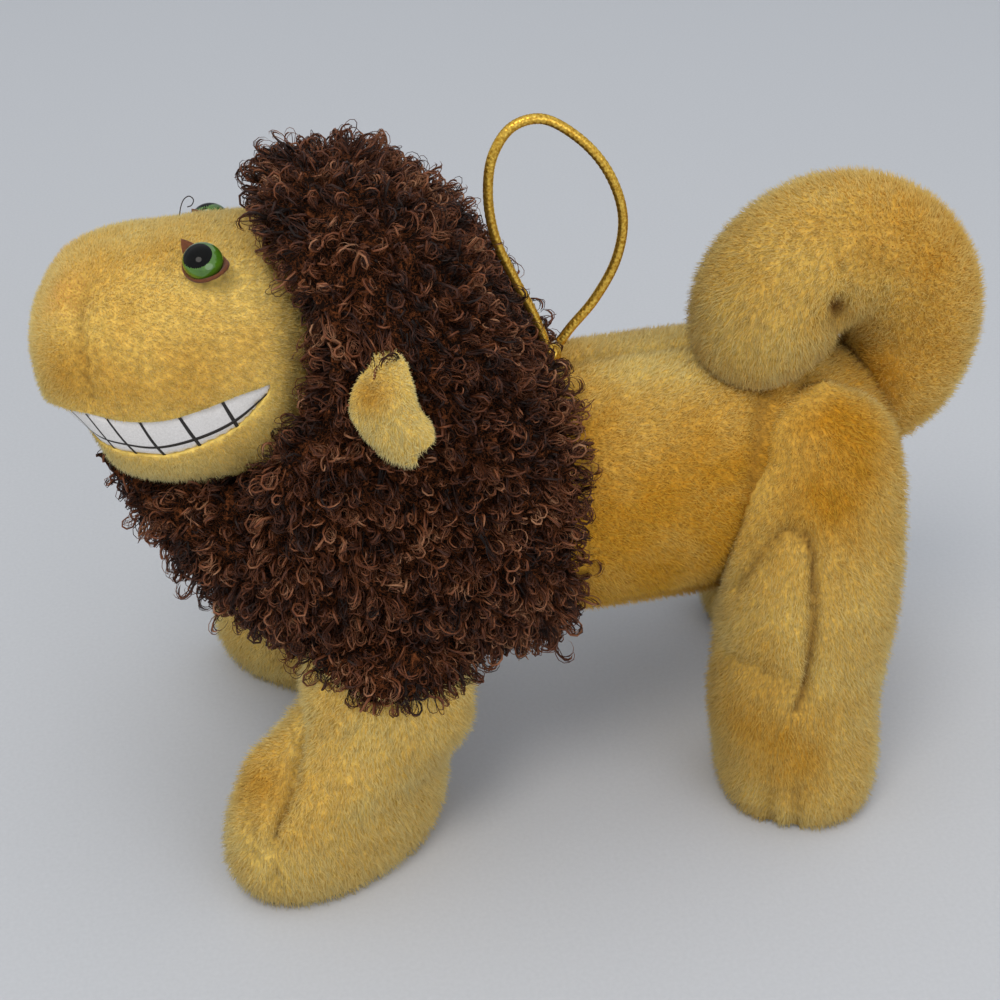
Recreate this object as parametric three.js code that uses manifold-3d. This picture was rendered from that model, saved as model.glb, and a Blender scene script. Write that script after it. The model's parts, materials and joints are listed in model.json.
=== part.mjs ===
// A standing plush lion: short golden plush over fibre stuffing, a curly pile mane,
// two-part plastic eyes on felt, a printed row of teeth, a curled tail and a gold hanging loop.
// Millimetres, +Z up. The lion looks along -X and its left side is -Y.
// The origin is on the floor, under the middle of the toy without its hanging loop.

import * as THREE from "three";
import { mergeVertices } from "three/addons/utils/BufferGeometryUtils.js";
import Module from "manifold-3d";

const wasm = await Module();
wasm.setup();

// Driving sizes

const seamGap = 0.3; // left between pieces that are sewn, glued or pressed together
const weld = 0.0005; // points nearer than this are one point
const cutOverrun = 6; // how far a cutting block runs past what it cuts

const plushThickness = 2.4; // backing cloth and short pile
const manePile = 9; // backing cloth and curly pile
const soleThickness = 1.8;

const trunkLength = 101;
const trunkWidth = 68;
const trunkHeight = 69;
const bellyHeight = 46; // floor to belly

const maneLength = 115;
const maneWidth = 100;
const maneHeight = 130;
const maneHemHeight = 41; // floor to the lowest edge of the mane
const maneRimOverlap = 13; // how far the trunk reaches into the mane

const headLength = 70;
const headWidth = 64;
const headHeight = 61;
const muzzleReach = 10; // the nose reaches this far beyond the tip of the beard
const headCentreHeight = 126.2;

const frontLegTop = 66;
const frontLegLength = 50; // along the trunk
const frontLegThickness = 34;
const frontLegSpread = 38; // from the middle plane to the middle of the leg
const frontLegReach = 42; // the leg stands this far before the trunk's front end
const frontFootTurn = 32; // degrees that the toes point outwards

const rearLegTop = 111;
const rearLegLength = 50;
const rearLegThickness = 38;
const rearLegSpread = 36;
const rearLegInset = 31; // the leg stands this far before the trunk's rear end
const rightRearSetBack = 19; // the right rear foot stands this far behind the left one

const tailCurlRadius = 22; // of the line that the middle of the tail follows
const tailRadius = 18.5;
const tailCurlHeight = 117; // floor to the middle of the curl
const tailCurlInset = 20.5; // middle of the curl to the trunk's rear end
const tailTipOffset = 9; // the tip lies this far to the left of the root

const eyeDiameter = 9.6;
const eyeDomeHeight = 3.9;
const pupilDiameter = 6.2;
const shankDiameter = 3;
const shankLength = 10;
const washerDiameter = 11;
const feltThickness = 0.8;
const feltDiameter = 10.8;
const feltTipReach = 7.9; // from the eye's middle to the felt's pointed corner

const teethThickness = 0.8;
const teethInset = 1.1; // the teeth lie this far under the plush

const earLength = 25.5;
const earWidth = 19;
const earThickness = 4.6;
const earCup = 3; // how far the ear's edges curl outwards

const cordDiameter = 2.4;
const knotDiameter = 6;

// Shapes are made from closed rings of points

const sign = (value) => (value < 0 ? -1 : 1);

// A closed body through rings of points, ended by one point at each end.
function skinThrough(rings, startPoint, endPoint) {
  const count = rings[0].length;
  const points = [...rings.flat(), startPoint, endPoint];
  const start = points.length - 2;
  const end = points.length - 1;
  const last = (rings.length - 1) * count;
  const faces = [];
  for (let side = 0; side < count; side++) {
    const next = (side + 1) % count;
    faces.push(start, next, side);
    faces.push(end, last + side, last + next);
    for (let ring = 0; ring < last; ring += count) {
      faces.push(ring + side, ring + next, ring + count + next);
      faces.push(ring + side, ring + count + next, ring + count + side);
    }
  }
  const geometry = new THREE.BufferGeometry().setFromPoints(points);
  geometry.setIndex(faces);
  return geometry;
}

// One ring: an oval of its own roundness above and below its middle.
function ovalRing(middle, across, up, halfAcross, halfUp, sides, roundness = [2, 2]) {
  return Array.from({ length: sides }, (_, side) => {
    const angle = (2 * Math.PI * side) / sides;
    const [c, s] = [Math.cos(angle), Math.sin(angle)];
    const power = 2 / (s < 0 ? roundness[0] : roundness[1]);
    return middle
      .clone()
      .addScaledVector(across, halfAcross * sign(c) * Math.abs(c) ** power)
      .addScaledVector(up, halfUp * sign(s) * Math.abs(s) ** power);
  });
}

// Smooth values between the rows of a table whose first column runs from 0 to 1.
function smoothTable(rows) {
  const places = rows.map((row) => row[0]);
  const values = rows.flatMap((row) => row.slice(1));
  const curve = new THREE.CubicInterpolant(places, values, rows[0].length - 1);
  return (place) => [...curve.evaluate(place)];
}

// Places from 0 to 1, closer together towards both ends, where a stuffed form turns in.
function endsFirst(count) {
  return Array.from({ length: count }, (_, i) => {
    const even = (i + 0.5) / count;
    const bent = (1 - Math.cos(Math.PI * even)) / 2;
    return (even + bent) / 2;
  });
}

const thinnest = 0.3; // the least half width that a shrunken form keeps

// A stuffed form lying along X. Rows: place along it, height of its middle, half width, half height.
// grow makes it larger all round, or smaller when negative.
function lyingForm(form, grow = 0, sides = form.sides, rings = form.rings) {
  const at = smoothTable(form.shares);
  const length = form.length + 2 * grow;
  const startX = form.startX - grow;
  const place = (share) => {
    const [rise, wide, high] = at(share);
    const middle = new THREE.Vector3(startX + share * length, 0, form.lowZ + rise * form.height);
    return { middle, wide: (wide * form.width) / 2, high: (high * form.height) / 2 };
  };
  const across = new THREE.Vector3(0, 1, 0);
  const up = new THREE.Vector3(0, 0, 1);
  const inner = endsFirst(rings);
  if (form.flatEnd) inner[rings - 1] = 1;
  const loops = inner.map((share) => {
    const { middle, wide, high } = place(share);
    const halfWide = Math.max(wide + grow, thinnest);
    const halfHigh = Math.max(high + grow, thinnest);
    return ovalRing(middle, across, up, halfWide, halfHigh, sides, form.roundness);
  });
  return skinThrough(loops, place(0).middle, place(1).middle);
}

const leanShares = [0.1, 0.58]; // between these places a leg comes back by its whole set-back

// A stuffed form standing along Z, from its top down to a flat foot.
// Rows: place down it, shift along X, shift outwards, half length, half thickness, turn of the toes.
function standingForm(form, grow = 0, sides = form.sides, rings = form.rings) {
  const at = smoothTable(form.shares);
  const topZ = form.topZ + grow;
  const lowZ = form.lowZ - Math.max(grow, 0);
  const place = (share) => {
    const [shiftX, shiftOut, halfX, halfY, turnShare] = at(share);
    const turn = THREE.MathUtils.degToRad(form.turn * turnShare);
    const lean = form.setBack * THREE.MathUtils.smoothstep(share, ...leanShares);
    return {
      along: new THREE.Vector3(Math.cos(turn), Math.sin(turn), 0),
      outwards: new THREE.Vector3(Math.sin(turn), -Math.cos(turn), 0),
      middle: new THREE.Vector3(
        form.x + shiftX * form.length + lean,
        -(form.spread + shiftOut * form.thickness),
        topZ + (lowZ - topZ) * share,
      ),
      halfLong: Math.max(halfX * form.length + grow, thinnest),
      halfThick: Math.max(halfY * form.thickness + grow, thinnest),
    };
  };
  const inner = endsFirst(rings);
  inner[rings - 1] = 1;
  const loops = inner.map((share) => {
    const { middle, along, outwards, halfLong, halfThick } = place(share);
    return ovalRing(middle, along, outwards, halfLong, halfThick, sides, form.roundness);
  });
  return skinThrough(loops, place(0).middle, place(1).middle);
}

// A stuffed form that follows a curl in the XZ plane, and leans sideways towards its tip.
// Rows: place along it, radius of the curl, thickness, shift to the left.
function curledForm(form, grow = 0, sides = form.sides, rings = form.rings) {
  const at = smoothTable(form.shares);
  const left = new THREE.Vector3(0, -1, 0);
  const place = (share) => {
    const [reach, thick, shift] = at(share);
    const angle = THREE.MathUtils.degToRad(form.fromTurn + (form.toTurn - form.fromTurn) * share);
    const radial = new THREE.Vector3(Math.cos(angle), 0, Math.sin(angle));
    const middle = form.middle
      .clone()
      .addScaledVector(radial, reach * form.curl)
      .addScaledVector(left, shift * form.tipShift);
    return { radial, middle, half: Math.max(thick * form.radius + grow, thinnest) };
  };
  const across = left.clone().negate();
  const loops = endsFirst(rings).map((share) => {
    const { radial, middle, half } = place(share);
    return ovalRing(middle, radial, across, half, half, sides);
  });
  return skinThrough(loops, place(0).middle, place(1).middle);
}

// Solids, for cutting and joining

function solid(geometry) {
  const bare = geometry.clone();
  bare.deleteAttribute("normal");
  bare.deleteAttribute("uv");
  const merged = mergeVertices(bare, weld);
  const mesh = new wasm.Mesh({
    numProp: 3,
    vertProperties: merged.attributes.position.array,
    triVerts: merged.index.array,
  });
  return new wasm.Manifold(mesh);
}

function geometryOf(body) {
  const { numProp, vertProperties, triVerts } = body.getMesh();
  const geometry = new THREE.BufferGeometry();
  const places = new THREE.InterleavedBuffer(vertProperties, numProp);
  geometry.setAttribute("position", new THREE.InterleavedBufferAttribute(places, 3, 0));
  geometry.setIndex([...triVerts]);
  const merged = geometry.toNonIndexed();
  merged.computeVertexNormals();
  return merged;
}

// The same geometry on the other side of the middle plane.
function mirrored(geometry) {
  const other = geometry.index ? geometry.toNonIndexed() : geometry.clone();
  other.scale(1, -1, 1);
  const places = other.attributes.position;
  const corner = new THREE.Vector3();
  const swap = new THREE.Vector3();
  for (let i = 0; i < places.count; i += 3) {
    corner.fromBufferAttribute(places, i);
    swap.fromBufferAttribute(places, i + 1);
    places.setXYZ(i, ...swap);
    places.setXYZ(i + 1, ...corner);
  }
  other.computeVertexNormals();
  return other;
}

function block(low, high) {
  const size = new THREE.Vector3().subVectors(high, low);
  const geometry = new THREE.BoxGeometry(...size);
  geometry.translate(...new THREE.Vector3().addVectors(low, high).multiplyScalar(0.5));
  return solid(geometry);
}

// A flat outline in the XZ plane, run right through the toy from side to side.
function throughSides(shape, width, steps) {
  const geometry = new THREE.ExtrudeGeometry(shape, {
    depth: width,
    bevelEnabled: false,
    curveSegments: steps,
  });
  geometry.rotateX(Math.PI / 2);
  geometry.translate(0, width / 2, 0);
  return solid(geometry);
}

const lion = new THREE.Group();
lion.name = "plush_lion";

function finish(colour, roughness) {
  return new THREE.MeshStandardMaterial({ color: colour, roughness, metalness: 0 });
}

const goldenPlush = finish("#d9ab3c", 0.95);
const palePlush = finish("#dfc064", 0.95);
const curlyPile = finish("#4a2a18", 0.9);
const fibreFill = finish("#f3f1ea", 1);
const printedSatin = finish("#dcdad8", 0.5);
const greenPlastic = finish("#5c8a26", 0.1);
const blackPlastic = finish("#0b0b0a", 0.12);
const whitePlastic = finish("#e8e6df", 0.4);
const brownFelt = finish("#6d3a18", 0.95);
const goldBraid = new THREE.MeshStandardMaterial({
  color: "#c79a3a",
  roughness: 0.35,
  metalness: 0.8,
});

function add(name, shape, material) {
  const geometry = shape.isBufferGeometry ? shape : geometryOf(shape);
  const mesh = new THREE.Mesh(geometry, material);
  mesh.name = name;
  lion.add(mesh);
  return mesh;
}

// The trunk: a stuffed barrel from inside the mane to the rump

const trunkForm = {
  startX: 0,
  length: trunkLength,
  width: trunkWidth,
  height: trunkHeight,
  lowZ: bellyHeight,
  sides: 18,
  rings: 10,
  innerSides: 12,
  roundness: [2.1, 2.1],
  shares: [
    [0, 0.48, 0.99, 0.99],
    [0.2, 0.485, 1, 1],
    [0.4, 0.5, 1, 1],
    [0.6, 0.515, 1, 0.99],
    [0.76, 0.52, 0.97, 0.95],
    [0.88, 0.51, 0.83, 0.82],
    [0.95, 0.5, 0.6, 0.61],
    [0.985, 0.49, 0.34, 0.35],
    [1, 0.485, 0, 0],
  ],
};
const trunkEndX = trunkForm.startX + trunkLength;
const behindAll = trunkEndX + rearLegLength;
const trunk = (grow) => solid(lyingForm(trunkForm, grow));
const trunkInside = (grow) => solid(lyingForm(trunkForm, grow, trunkForm.innerSides));

// The mane: a tube of curly pile from the face seam to the shoulders, with the beard in front

const maneForm = {
  startX: trunkForm.startX + maneRimOverlap - maneLength,
  length: maneLength,
  width: maneWidth,
  height: maneHeight,
  lowZ: maneHemHeight,
  sides: 20,
  rings: 18,
  innerSides: 14,
  roundness: [2.8, 2.5],
  flatEnd: true,
  shares: [
    [0, 0.442, 0, 0],
    [0.02, 0.441, 0.16, 0.051],
    [0.06, 0.433, 0.32, 0.103],
    [0.14, 0.4, 0.54, 0.2],
    [0.2, 0.369, 0.65, 0.292],
    [0.27, 0.337, 0.77, 0.388],
    [0.33, 0.322, 0.84, 0.455],
    [0.37, 0.483, 0.9, 0.85],
    [0.41, 0.508, 0.94, 0.928],
    [0.5, 0.515, 0.99, 0.968],
    [0.6, 0.504, 1, 0.969],
    [0.7, 0.473, 1, 0.931],
    [0.8, 0.425, 0.97, 0.85],
    [0.89, 0.348, 0.92, 0.681],
    [0.95, 0.319, 0.86, 0.592],
    [1, 0.319, 0.77, 0.546],
  ],
};
const mane = (grow) => solid(lyingForm(maneForm, grow));
const maneInside = (grow) => solid(lyingForm(maneForm, grow, maneForm.innerSides));

// The head: one stuffed egg, whose front is the muzzle and whose lower front is the jaw

const headForm = {
  startX: maneForm.startX - muzzleReach,
  length: headLength,
  width: headWidth,
  height: headHeight,
  lowZ: headCentreHeight - headHeight / 2,
  sides: 20,
  rings: 12,
  innerSides: 14,
  roundness: [2.6, 2.05],
  shares: [
    [0, 0.535, 0, 0],
    [0.028, 0.53, 0.36, 0.3],
    [0.07, 0.535, 0.55, 0.46],
    [0.14, 0.535, 0.73, 0.65],
    [0.2, 0.51, 0.82, 0.8],
    [0.28, 0.5, 0.89, 0.9],
    [0.45, 0.5, 0.98, 0.98],
    [0.64, 0.5, 1, 1],
    [0.82, 0.495, 0.95, 0.94],
    [0.94, 0.49, 0.6, 0.6],
    [1, 0.485, 0, 0],
  ],
};
const head = (grow) => solid(lyingForm(headForm, grow));
const headInside = (grow) => solid(lyingForm(headForm, grow, headForm.innerSides));
const headX = (share) => headForm.startX + share * headLength;
const headZ = (share) => headForm.lowZ + share * headHeight;

// Where the face ends at the mane, and where the front of the muzzle is sewn on

const faceSeamShare = 0.95;
const muzzleSeamShare = 0.2;
const faceSeamX = headX(faceSeamShare);
const muzzleSeamX = headX(muzzleSeamShare);

// The grin from the side, as shares of the head: the upper lip's edge, then the jaw's

const lipShares = [
  [-0.08, 0.41],
  [0, 0.415],
  [0.09, 0.43],
  [0.18, 0.445],
  [0.3, 0.43],
  [0.42, 0.437],
  [0.53, 0.472],
  [0.65, 0.518],
  [0.757, 0.556],
];
const jawShares = [
  [-0.08, 0.3],
  [0, 0.3],
  [0.09, 0.3],
  [0.18, 0.298],
  [0.3, 0.277],
  [0.42, 0.276],
  [0.53, 0.32],
  [0.65, 0.393],
  [0.757, 0.53],
];
const mouthBackShares = [
  [0.95, 0.6],
  [1.1, 0.61],
];

const lipSteps = 2; // for each point of a lip

function sidePoints(shares, raise = 0) {
  return shares.map(([along, up]) => new THREE.Vector2(headX(along), headZ(up) + raise));
}

// The part of the head above a line, or below it.
function headBeyond(line, edgeZ) {
  const shape = new THREE.Shape();
  shape.moveTo(line[0].x, edgeZ);
  shape.lineTo(line[0].x, line[0].y);
  shape.splineThru(line.slice(1));
  shape.lineTo(line.at(-1).x, edgeZ);
  shape.closePath();
  return throughSides(shape, headWidth + 2 * cutOverrun, lipSteps);
}

const lipLine = sidePoints([...lipShares, ...mouthBackShares], seamGap / 2);
const jawLine = sidePoints([...jawShares, ...mouthBackShares], -seamGap / 2);
const aboveLip = headBeyond(lipLine, headZ(1) + cutOverrun);
const belowJaw = headBeyond(jawLine, headZ(0) - cutOverrun);

// Blocks that keep what lies before or behind a plane across the toy

function slab(lowX, highX) {
  const halfWidth = maneWidth;
  const tall = maneHemHeight + 2 * maneHeight;
  return block(
    new THREE.Vector3(lowX, -halfWidth, -cutOverrun),
    new THREE.Vector3(highX, halfWidth, tall),
  );
}

const faceFrontX = headForm.startX - cutOverrun;
const headShell = head(0).subtract(headInside(-plushThickness));

// Eyes: each a green dome over a black core whose shank goes through felt and plush to a washer

// Turns are degrees from the top of the head, which leans a little.
const eyePlaces = {
  left: { alongShare: 0.605, turn: 34 },
  right: { alongShare: 0.632, turn: 52 },
};

// Where an eye sits: out of the skin along Z, with X towards the nose. The right eye is mirrored.
function eyeFrame(place) {
  const at = smoothTable(headForm.shares);
  const [rise, wide, high] = at(place.alongShare);
  const turn = THREE.MathUtils.degToRad(place.turn);
  const halfWide = (wide * headWidth) / 2;
  const halfHigh = (high * headHeight) / 2;
  const outwards = new THREE.Vector3(
    0,
    -Math.sin(turn) / halfWide,
    Math.cos(turn) / halfHigh,
  ).normalize();
  const power = 2 / headForm.roundness[1];
  const onSkin = new THREE.Vector3(
    headX(place.alongShare),
    -halfWide * Math.sin(turn) ** power,
    headForm.lowZ + rise * headHeight + halfHigh * Math.cos(turn) ** power,
  );
  const forwards = new THREE.Vector3(-1, 0, 0);
  const downwards = new THREE.Vector3().crossVectors(outwards, forwards);
  const frame = new THREE.Matrix4().makeBasis(forwards, downwards, outwards);
  frame.setPosition(onSkin.addScaledVector(outwards, feltThickness + 2 * seamGap));
  return frame;
}

// A copy of an eye's piece, at its place on one side of the head.
function atEye(side, geometry) {
  const placed = geometry.clone().applyMatrix4(eyeFrame(eyePlaces[side]));
  return side === "left" ? placed : mirrored(placed);
}

const eyeSteps = 14;

function turned(points, steps = eyeSteps) {
  const outline = points.map(([radius, height]) => new THREE.Vector2(radius, height));
  const geometry = new THREE.LatheGeometry(outline, steps);
  geometry.rotateX(Math.PI / 2);
  return geometry;
}

function arcPoints(radius, height, baseZ, steps) {
  return Array.from({ length: steps + 1 }, (_, i) => {
    const angle = (Math.PI / 2) * (i / steps);
    return [radius * Math.cos(angle), baseZ + height * Math.sin(angle)];
  });
}

const eyeRimHeight = 0.7;
const coreHeight = 1.5;
const domeSteps = 4;
const shankRidge = 0.2;
const shankRidges = 3;

function eyeDome() {
  const radius = eyeDiameter / 2;
  const hollow = pupilDiameter / 2 + seamGap;
  const ceiling = coreHeight + seamGap;
  return turned([
    [0, ceiling],
    [hollow, ceiling],
    [hollow, 0],
    [radius, 0],
    ...arcPoints(radius, eyeDomeHeight - eyeRimHeight, eyeRimHeight, domeSteps),
  ]);
}

function eyeCore() {
  const shank = shankDiameter / 2;
  const ridges = [];
  for (let i = 1; i <= shankRidges; i++) {
    const z = -shankLength + (i * shankLength) / (2 * shankRidges);
    const bump = z + shankLength / (4 * shankRidges);
    ridges.push([shank, z], [shank + shankRidge, bump]);
  }
  return turned([
    [0, -shankLength],
    [shank - shankRidge, -shankLength],
    ...ridges,
    [shank, 0],
    [pupilDiameter / 2, 0],
    [pupilDiameter / 2, coreHeight - eyeRimHeight],
    [0, coreHeight],
  ]);
}

const washerThickness = 1.2;
const washerCollar = 1;
const washerZ = -(feltThickness + plushThickness + 3 * seamGap + washerThickness);

function eyeWasher() {
  const bore = shankDiameter / 2 + shankRidge + seamGap / 2;
  const rim = washerDiameter / 2;
  const low = washerZ;
  const high = washerZ + washerThickness;
  return turned([
    [bore, low - washerCollar],
    [bore + washerCollar, low - washerCollar],
    [bore + washerCollar, low],
    [rim, low],
    [rim, high],
    [bore, high],
    [bore, low - washerCollar],
  ]);
}

// The felt behind the eye: round, with one pointed corner towards the brow
const feltTipTurn = 60; // degrees above the line to the nose
const feltSteps = 9;
const feltShift = 0.5; // the round part lies this far back and down

function eyeFelt() {
  const radius = feltDiameter / 2;
  const shape = new THREE.Shape();
  const turn = -THREE.MathUtils.degToRad(feltTipTurn);
  const middle = [-feltShift * Math.cos(turn), -feltShift * Math.sin(turn)];
  const open = Math.acos(radius / (feltTipReach + feltShift));
  shape.absarc(...middle, radius, turn + open, turn - open + 2 * Math.PI);
  shape.lineTo(feltTipReach * Math.cos(turn), feltTipReach * Math.sin(turn));
  shape.closePath();
  const hole = new THREE.Path();
  hole.absarc(0, 0, shankDiameter / 2 + shankRidge + seamGap / 2, 0, 2 * Math.PI, true);
  shape.holes.push(hole);
  const geometry = new THREE.ExtrudeGeometry(shape, {
    depth: feltThickness,
    bevelEnabled: false,
    curveSegments: feltSteps,
  });
  geometry.translate(0, 0, -feltThickness - seamGap);
  return geometry;
}

// Room for the shank through the plush, and for the washer between the plush and the stuffing
function eyeHole(radius, deepest, highest) {
  const geometry = turned([
    [0, deepest],
    [radius, deepest],
    [radius, highest],
    [0, highest],
  ]);
  return solid(atEye("left", geometry)).add(solid(atEye("right", geometry)));
}

const shankRoom = shankDiameter / 2 + shankRidge + seamGap;
const washerRoom = washerDiameter / 2 + seamGap;
const washerLow = washerZ - washerCollar - seamGap;
const shankHole = eyeHole(shankRoom, -shankLength - 2 * seamGap, cutOverrun);
const washerPocket = eyeHole(washerRoom, washerLow, washerZ + washerThickness + seamGap);

const faceSkin = headShell
  .intersect(aboveLip)
  .intersect(slab(muzzleSeamX + seamGap, faceSeamX))
  .subtract(shankHole)
  .subtract(washerPocket);
const muzzleFront = headShell
  .intersect(aboveLip)
  .intersect(slab(faceFrontX, muzzleSeamX));
const jawSkin = headShell.intersect(belowJaw).intersect(slab(faceFrontX, faceSeamX));

add("face_skin", faceSkin, palePlush);
add("muzzle_front_panel", muzzleFront, palePlush);
add("lower_jaw_skin", jawSkin, palePlush);

// The teeth: a printed satin band that shows between the lips

const teethBand = head(-teethInset)
  .subtract(head(-teethInset - teethThickness))
  .subtract(aboveLip)
  .subtract(belowJaw)
  .intersect(slab(faceFrontX, headX(jawShares.at(-1)[0])));
add("teeth_band", teethBand, printedSatin);

const headFill = headInside(-plushThickness - seamGap)
  .subtract(shankHole)
  .subtract(washerPocket);
add("head_stuffing", headFill, fibreFill);

for (const side of ["left", "right"]) {
  add(side + "_eye_dome", atEye(side, eyeDome()), greenPlastic);
  add(side + "_eye_core", atEye(side, eyeCore()), blackPlastic);
  add(side + "_eye_felt", atEye(side, eyeFelt()), brownFelt);
  add(side + "_eye_washer", atEye(side, eyeWasher()), whitePlastic);
}

// The mane is two mirrored panels, sewn along the crown and down the chest

const headInMane = head(seamGap)
  .intersect(slab(faceFrontX, faceSeamX + seamGap))
  .add(headInside(-plushThickness));
const knotShare = 0.965; // along the mane, where the hanging loop is tied
const knotSideways = -8;
const knotSinkShare = 0.125; // of its diameter, into the pile

function knotMiddle() {
  const [rise, , high] = smoothTable(maneForm.shares)(knotShare);
  return new THREE.Vector3(
    maneForm.startX + knotShare * maneLength,
    knotSideways,
    maneForm.lowZ + (rise + high / 2) * maneHeight - knotSinkShare * knotDiameter,
  );
}

const knot = knotMiddle();

function knotBall(extra = 0) {
  const geometry = new THREE.IcosahedronGeometry(knotDiameter / 2 + extra, 2);
  geometry.translate(...knot);
  return geometry;
}

// The face opening from the side, as shares of the head: its rear edge runs from the brow, round
// behind the cheek and forwards under the jaw.
const faceOpeningShares = [
  [0.78, 0.98],
  [0.835, 0.93],
  [0.868, 0.84],
  [0.872, 0.75],
  [0.862, 0.65],
  [0.845, 0.53],
  [0.8, 0.42],
  [0.735, 0.33],
  [0.66, 0.25],
];

function faceOpening() {
  const edge = sidePoints(faceOpeningShares);
  const shape = new THREE.Shape();
  shape.moveTo(faceFrontX, edge[0].y);
  shape.lineTo(edge[0].x, edge[0].y);
  shape.splineThru(edge.slice(1));
  shape.lineTo(faceFrontX, edge.at(-1).y);
  shape.closePath();
  return throughSides(shape, maneWidth + 2 * cutOverrun, lipSteps);
}

const maneShell = mane(0)
  .subtract(maneInside(-manePile))
  .subtract(faceOpening())
  .subtract(headInMane)
  .subtract(trunkInside(-plushThickness))
  .subtract(solid(knotBall(seamGap)));
const leftHalf = block(
  new THREE.Vector3(-behindAll - headLength - maneLength, -maneWidth, -cutOverrun),
  new THREE.Vector3(behindAll, -seamGap / 2, 2 * maneHeight),
);
const rightHalf = block(
  new THREE.Vector3(-behindAll - headLength - maneLength, seamGap / 2, -cutOverrun),
  new THREE.Vector3(behindAll, maneWidth, 2 * maneHeight),
);
add("mane_left_panel", maneShell.intersect(leftHalf), curlyPile);
add("mane_right_panel", maneShell.intersect(rightHalf), curlyPile);

const neckFill = maneInside(-manePile - seamGap)
  .intersect(slab(maneForm.startX + 3 * manePile, behindAll))
  .subtract(headInMane)
  .subtract(trunkInside(-plushThickness));
add("neck_stuffing", neckFill, fibreFill);
add("loop_knot", knotBall(), goldBraid);

// The trunk's plush is a left and a right panel, sewn along the spine, and a belly gusset

const maneCut = mane(seamGap);
const trunkShell = trunk(0)
  .subtract(trunkInside(-plushThickness))
  .subtract(maneCut);
const bellySeamShare = 0.16;
const bellySeamZ = bellyHeight + bellySeamShare * trunkHeight;
const underBelly = block(
  new THREE.Vector3(-behindAll, -trunkWidth, 0),
  new THREE.Vector3(behindAll, trunkWidth, bellySeamZ),
);
const overBelly = block(
  new THREE.Vector3(-behindAll, -trunkWidth, bellySeamZ + seamGap),
  new THREE.Vector3(behindAll, trunkWidth, 2 * maneHeight),
);
add("trunk_left_panel", trunkShell.intersect(overBelly).intersect(leftHalf), goldenPlush);
add("trunk_right_panel", trunkShell.intersect(overBelly).intersect(rightHalf), goldenPlush);
add("belly_panel", trunkShell.intersect(underBelly), goldenPlush);
add("trunk_stuffing", trunkInside(-plushThickness - seamGap), fibreFill);

// Legs: each a plush skin round its stuffing, closed underneath by a flat sole

const frontLegForm = {
  x: trunkForm.startX - frontLegReach,
  spread: frontLegSpread,
  length: frontLegLength,
  thickness: frontLegThickness,
  topZ: frontLegTop,
  lowZ: 0,
  turn: frontFootTurn,
  setBack: 0,
  sides: 14,
  rings: 11,
  innerSides: 10,
  roundness: [2.15, 2.15],
  shares: [
    [0, 0.1, -0.2, 0, 0, 0],
    [0.06, 0.1, -0.2, 0.27, 0.3, 0],
    [0.21, 0.1, -0.11, 0.42, 0.44, 0],
    [0.39, 0.06, -0.03, 0.465, 0.47, 0],
    [0.515, -0.03, 0, 0.55, 0.5, 0.6],
    [0.636, -0.14, 0.01, 0.61, 0.53, 0.9],
    [0.76, -0.17, 0.02, 0.64, 0.55, 1],
    [0.894, -0.18, 0.03, 0.615, 0.54, 1],
    [1, -0.175, 0.03, 0.53, 0.47, 1],
  ],
};

const rearLegForm = {
  x: trunkEndX - rearLegInset,
  spread: rearLegSpread,
  length: rearLegLength,
  thickness: rearLegThickness,
  topZ: rearLegTop,
  lowZ: 0,
  turn: 0,
  setBack: 0,
  sides: 14,
  rings: 12,
  innerSides: 10,
  roundness: [2.15, 2.15],
  shares: [
    [0, 0.08, -0.45, 0, 0, 0],
    [0.05, 0.08, -0.42, 0.26, 0.26, 0],
    [0.15, 0.08, -0.33, 0.39, 0.4, 0],
    [0.3, 0.04, -0.19, 0.45, 0.47, 0],
    [0.45, 0.01, -0.07, 0.46, 0.5, 0],
    [0.59, -0.02, -0.01, 0.455, 0.5, 0],
    [0.72, -0.05, 0.04, 0.445, 0.5, 0],
    [0.86, -0.02, 0.07, 0.43, 0.535, 0],
    [0.945, -0.01, 0.08, 0.41, 0.54, 0],
    [1, 0, 0.07, 0.37, 0.49, 0],
  ],
};

const soleTop = block(
  new THREE.Vector3(-behindAll - headLength - maneLength, -maneWidth, soleThickness + seamGap),
  new THREE.Vector3(behindAll, maneWidth, 2 * maneHeight),
);
const soleSlice = block(
  new THREE.Vector3(-behindAll - headLength - maneLength, -maneWidth, 0),
  new THREE.Vector3(behindAll, maneWidth, soleThickness),
);
const trunkCut = trunk(seamGap);

const legForms = {
  left_front: frontLegForm,
  right_front: frontLegForm,
  left_rear: rearLegForm,
  right_rear: { ...rearLegForm, setBack: rightRearSetBack },
};

for (const [name, form] of Object.entries(legForms)) {
  const whole = solid(standingForm(form)).subtract(trunkCut).subtract(maneCut);
  const inside = solid(standingForm(form, -plushThickness, form.innerSides));
  const fill = solid(standingForm(form, -plushThickness - seamGap, form.innerSides));
  const pieces = {
    leg_skin: whole.intersect(soleTop).subtract(inside),
    leg_stuffing: fill.intersect(soleTop).subtract(trunkCut).subtract(maneCut),
    sole: whole.intersect(soleSlice),
  };
  for (const [piece, shape] of Object.entries(pieces)) {
    const material = piece === "leg_stuffing" ? fibreFill : palePlush;
    const geometry = geometryOf(shape);
    add(`${name}_${piece}`, name.startsWith("left") ? geometry : mirrored(geometry), material);
  }
}

// The tail: a fat curl from the rump, over the back, whose tip lies beside the spine seam

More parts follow.
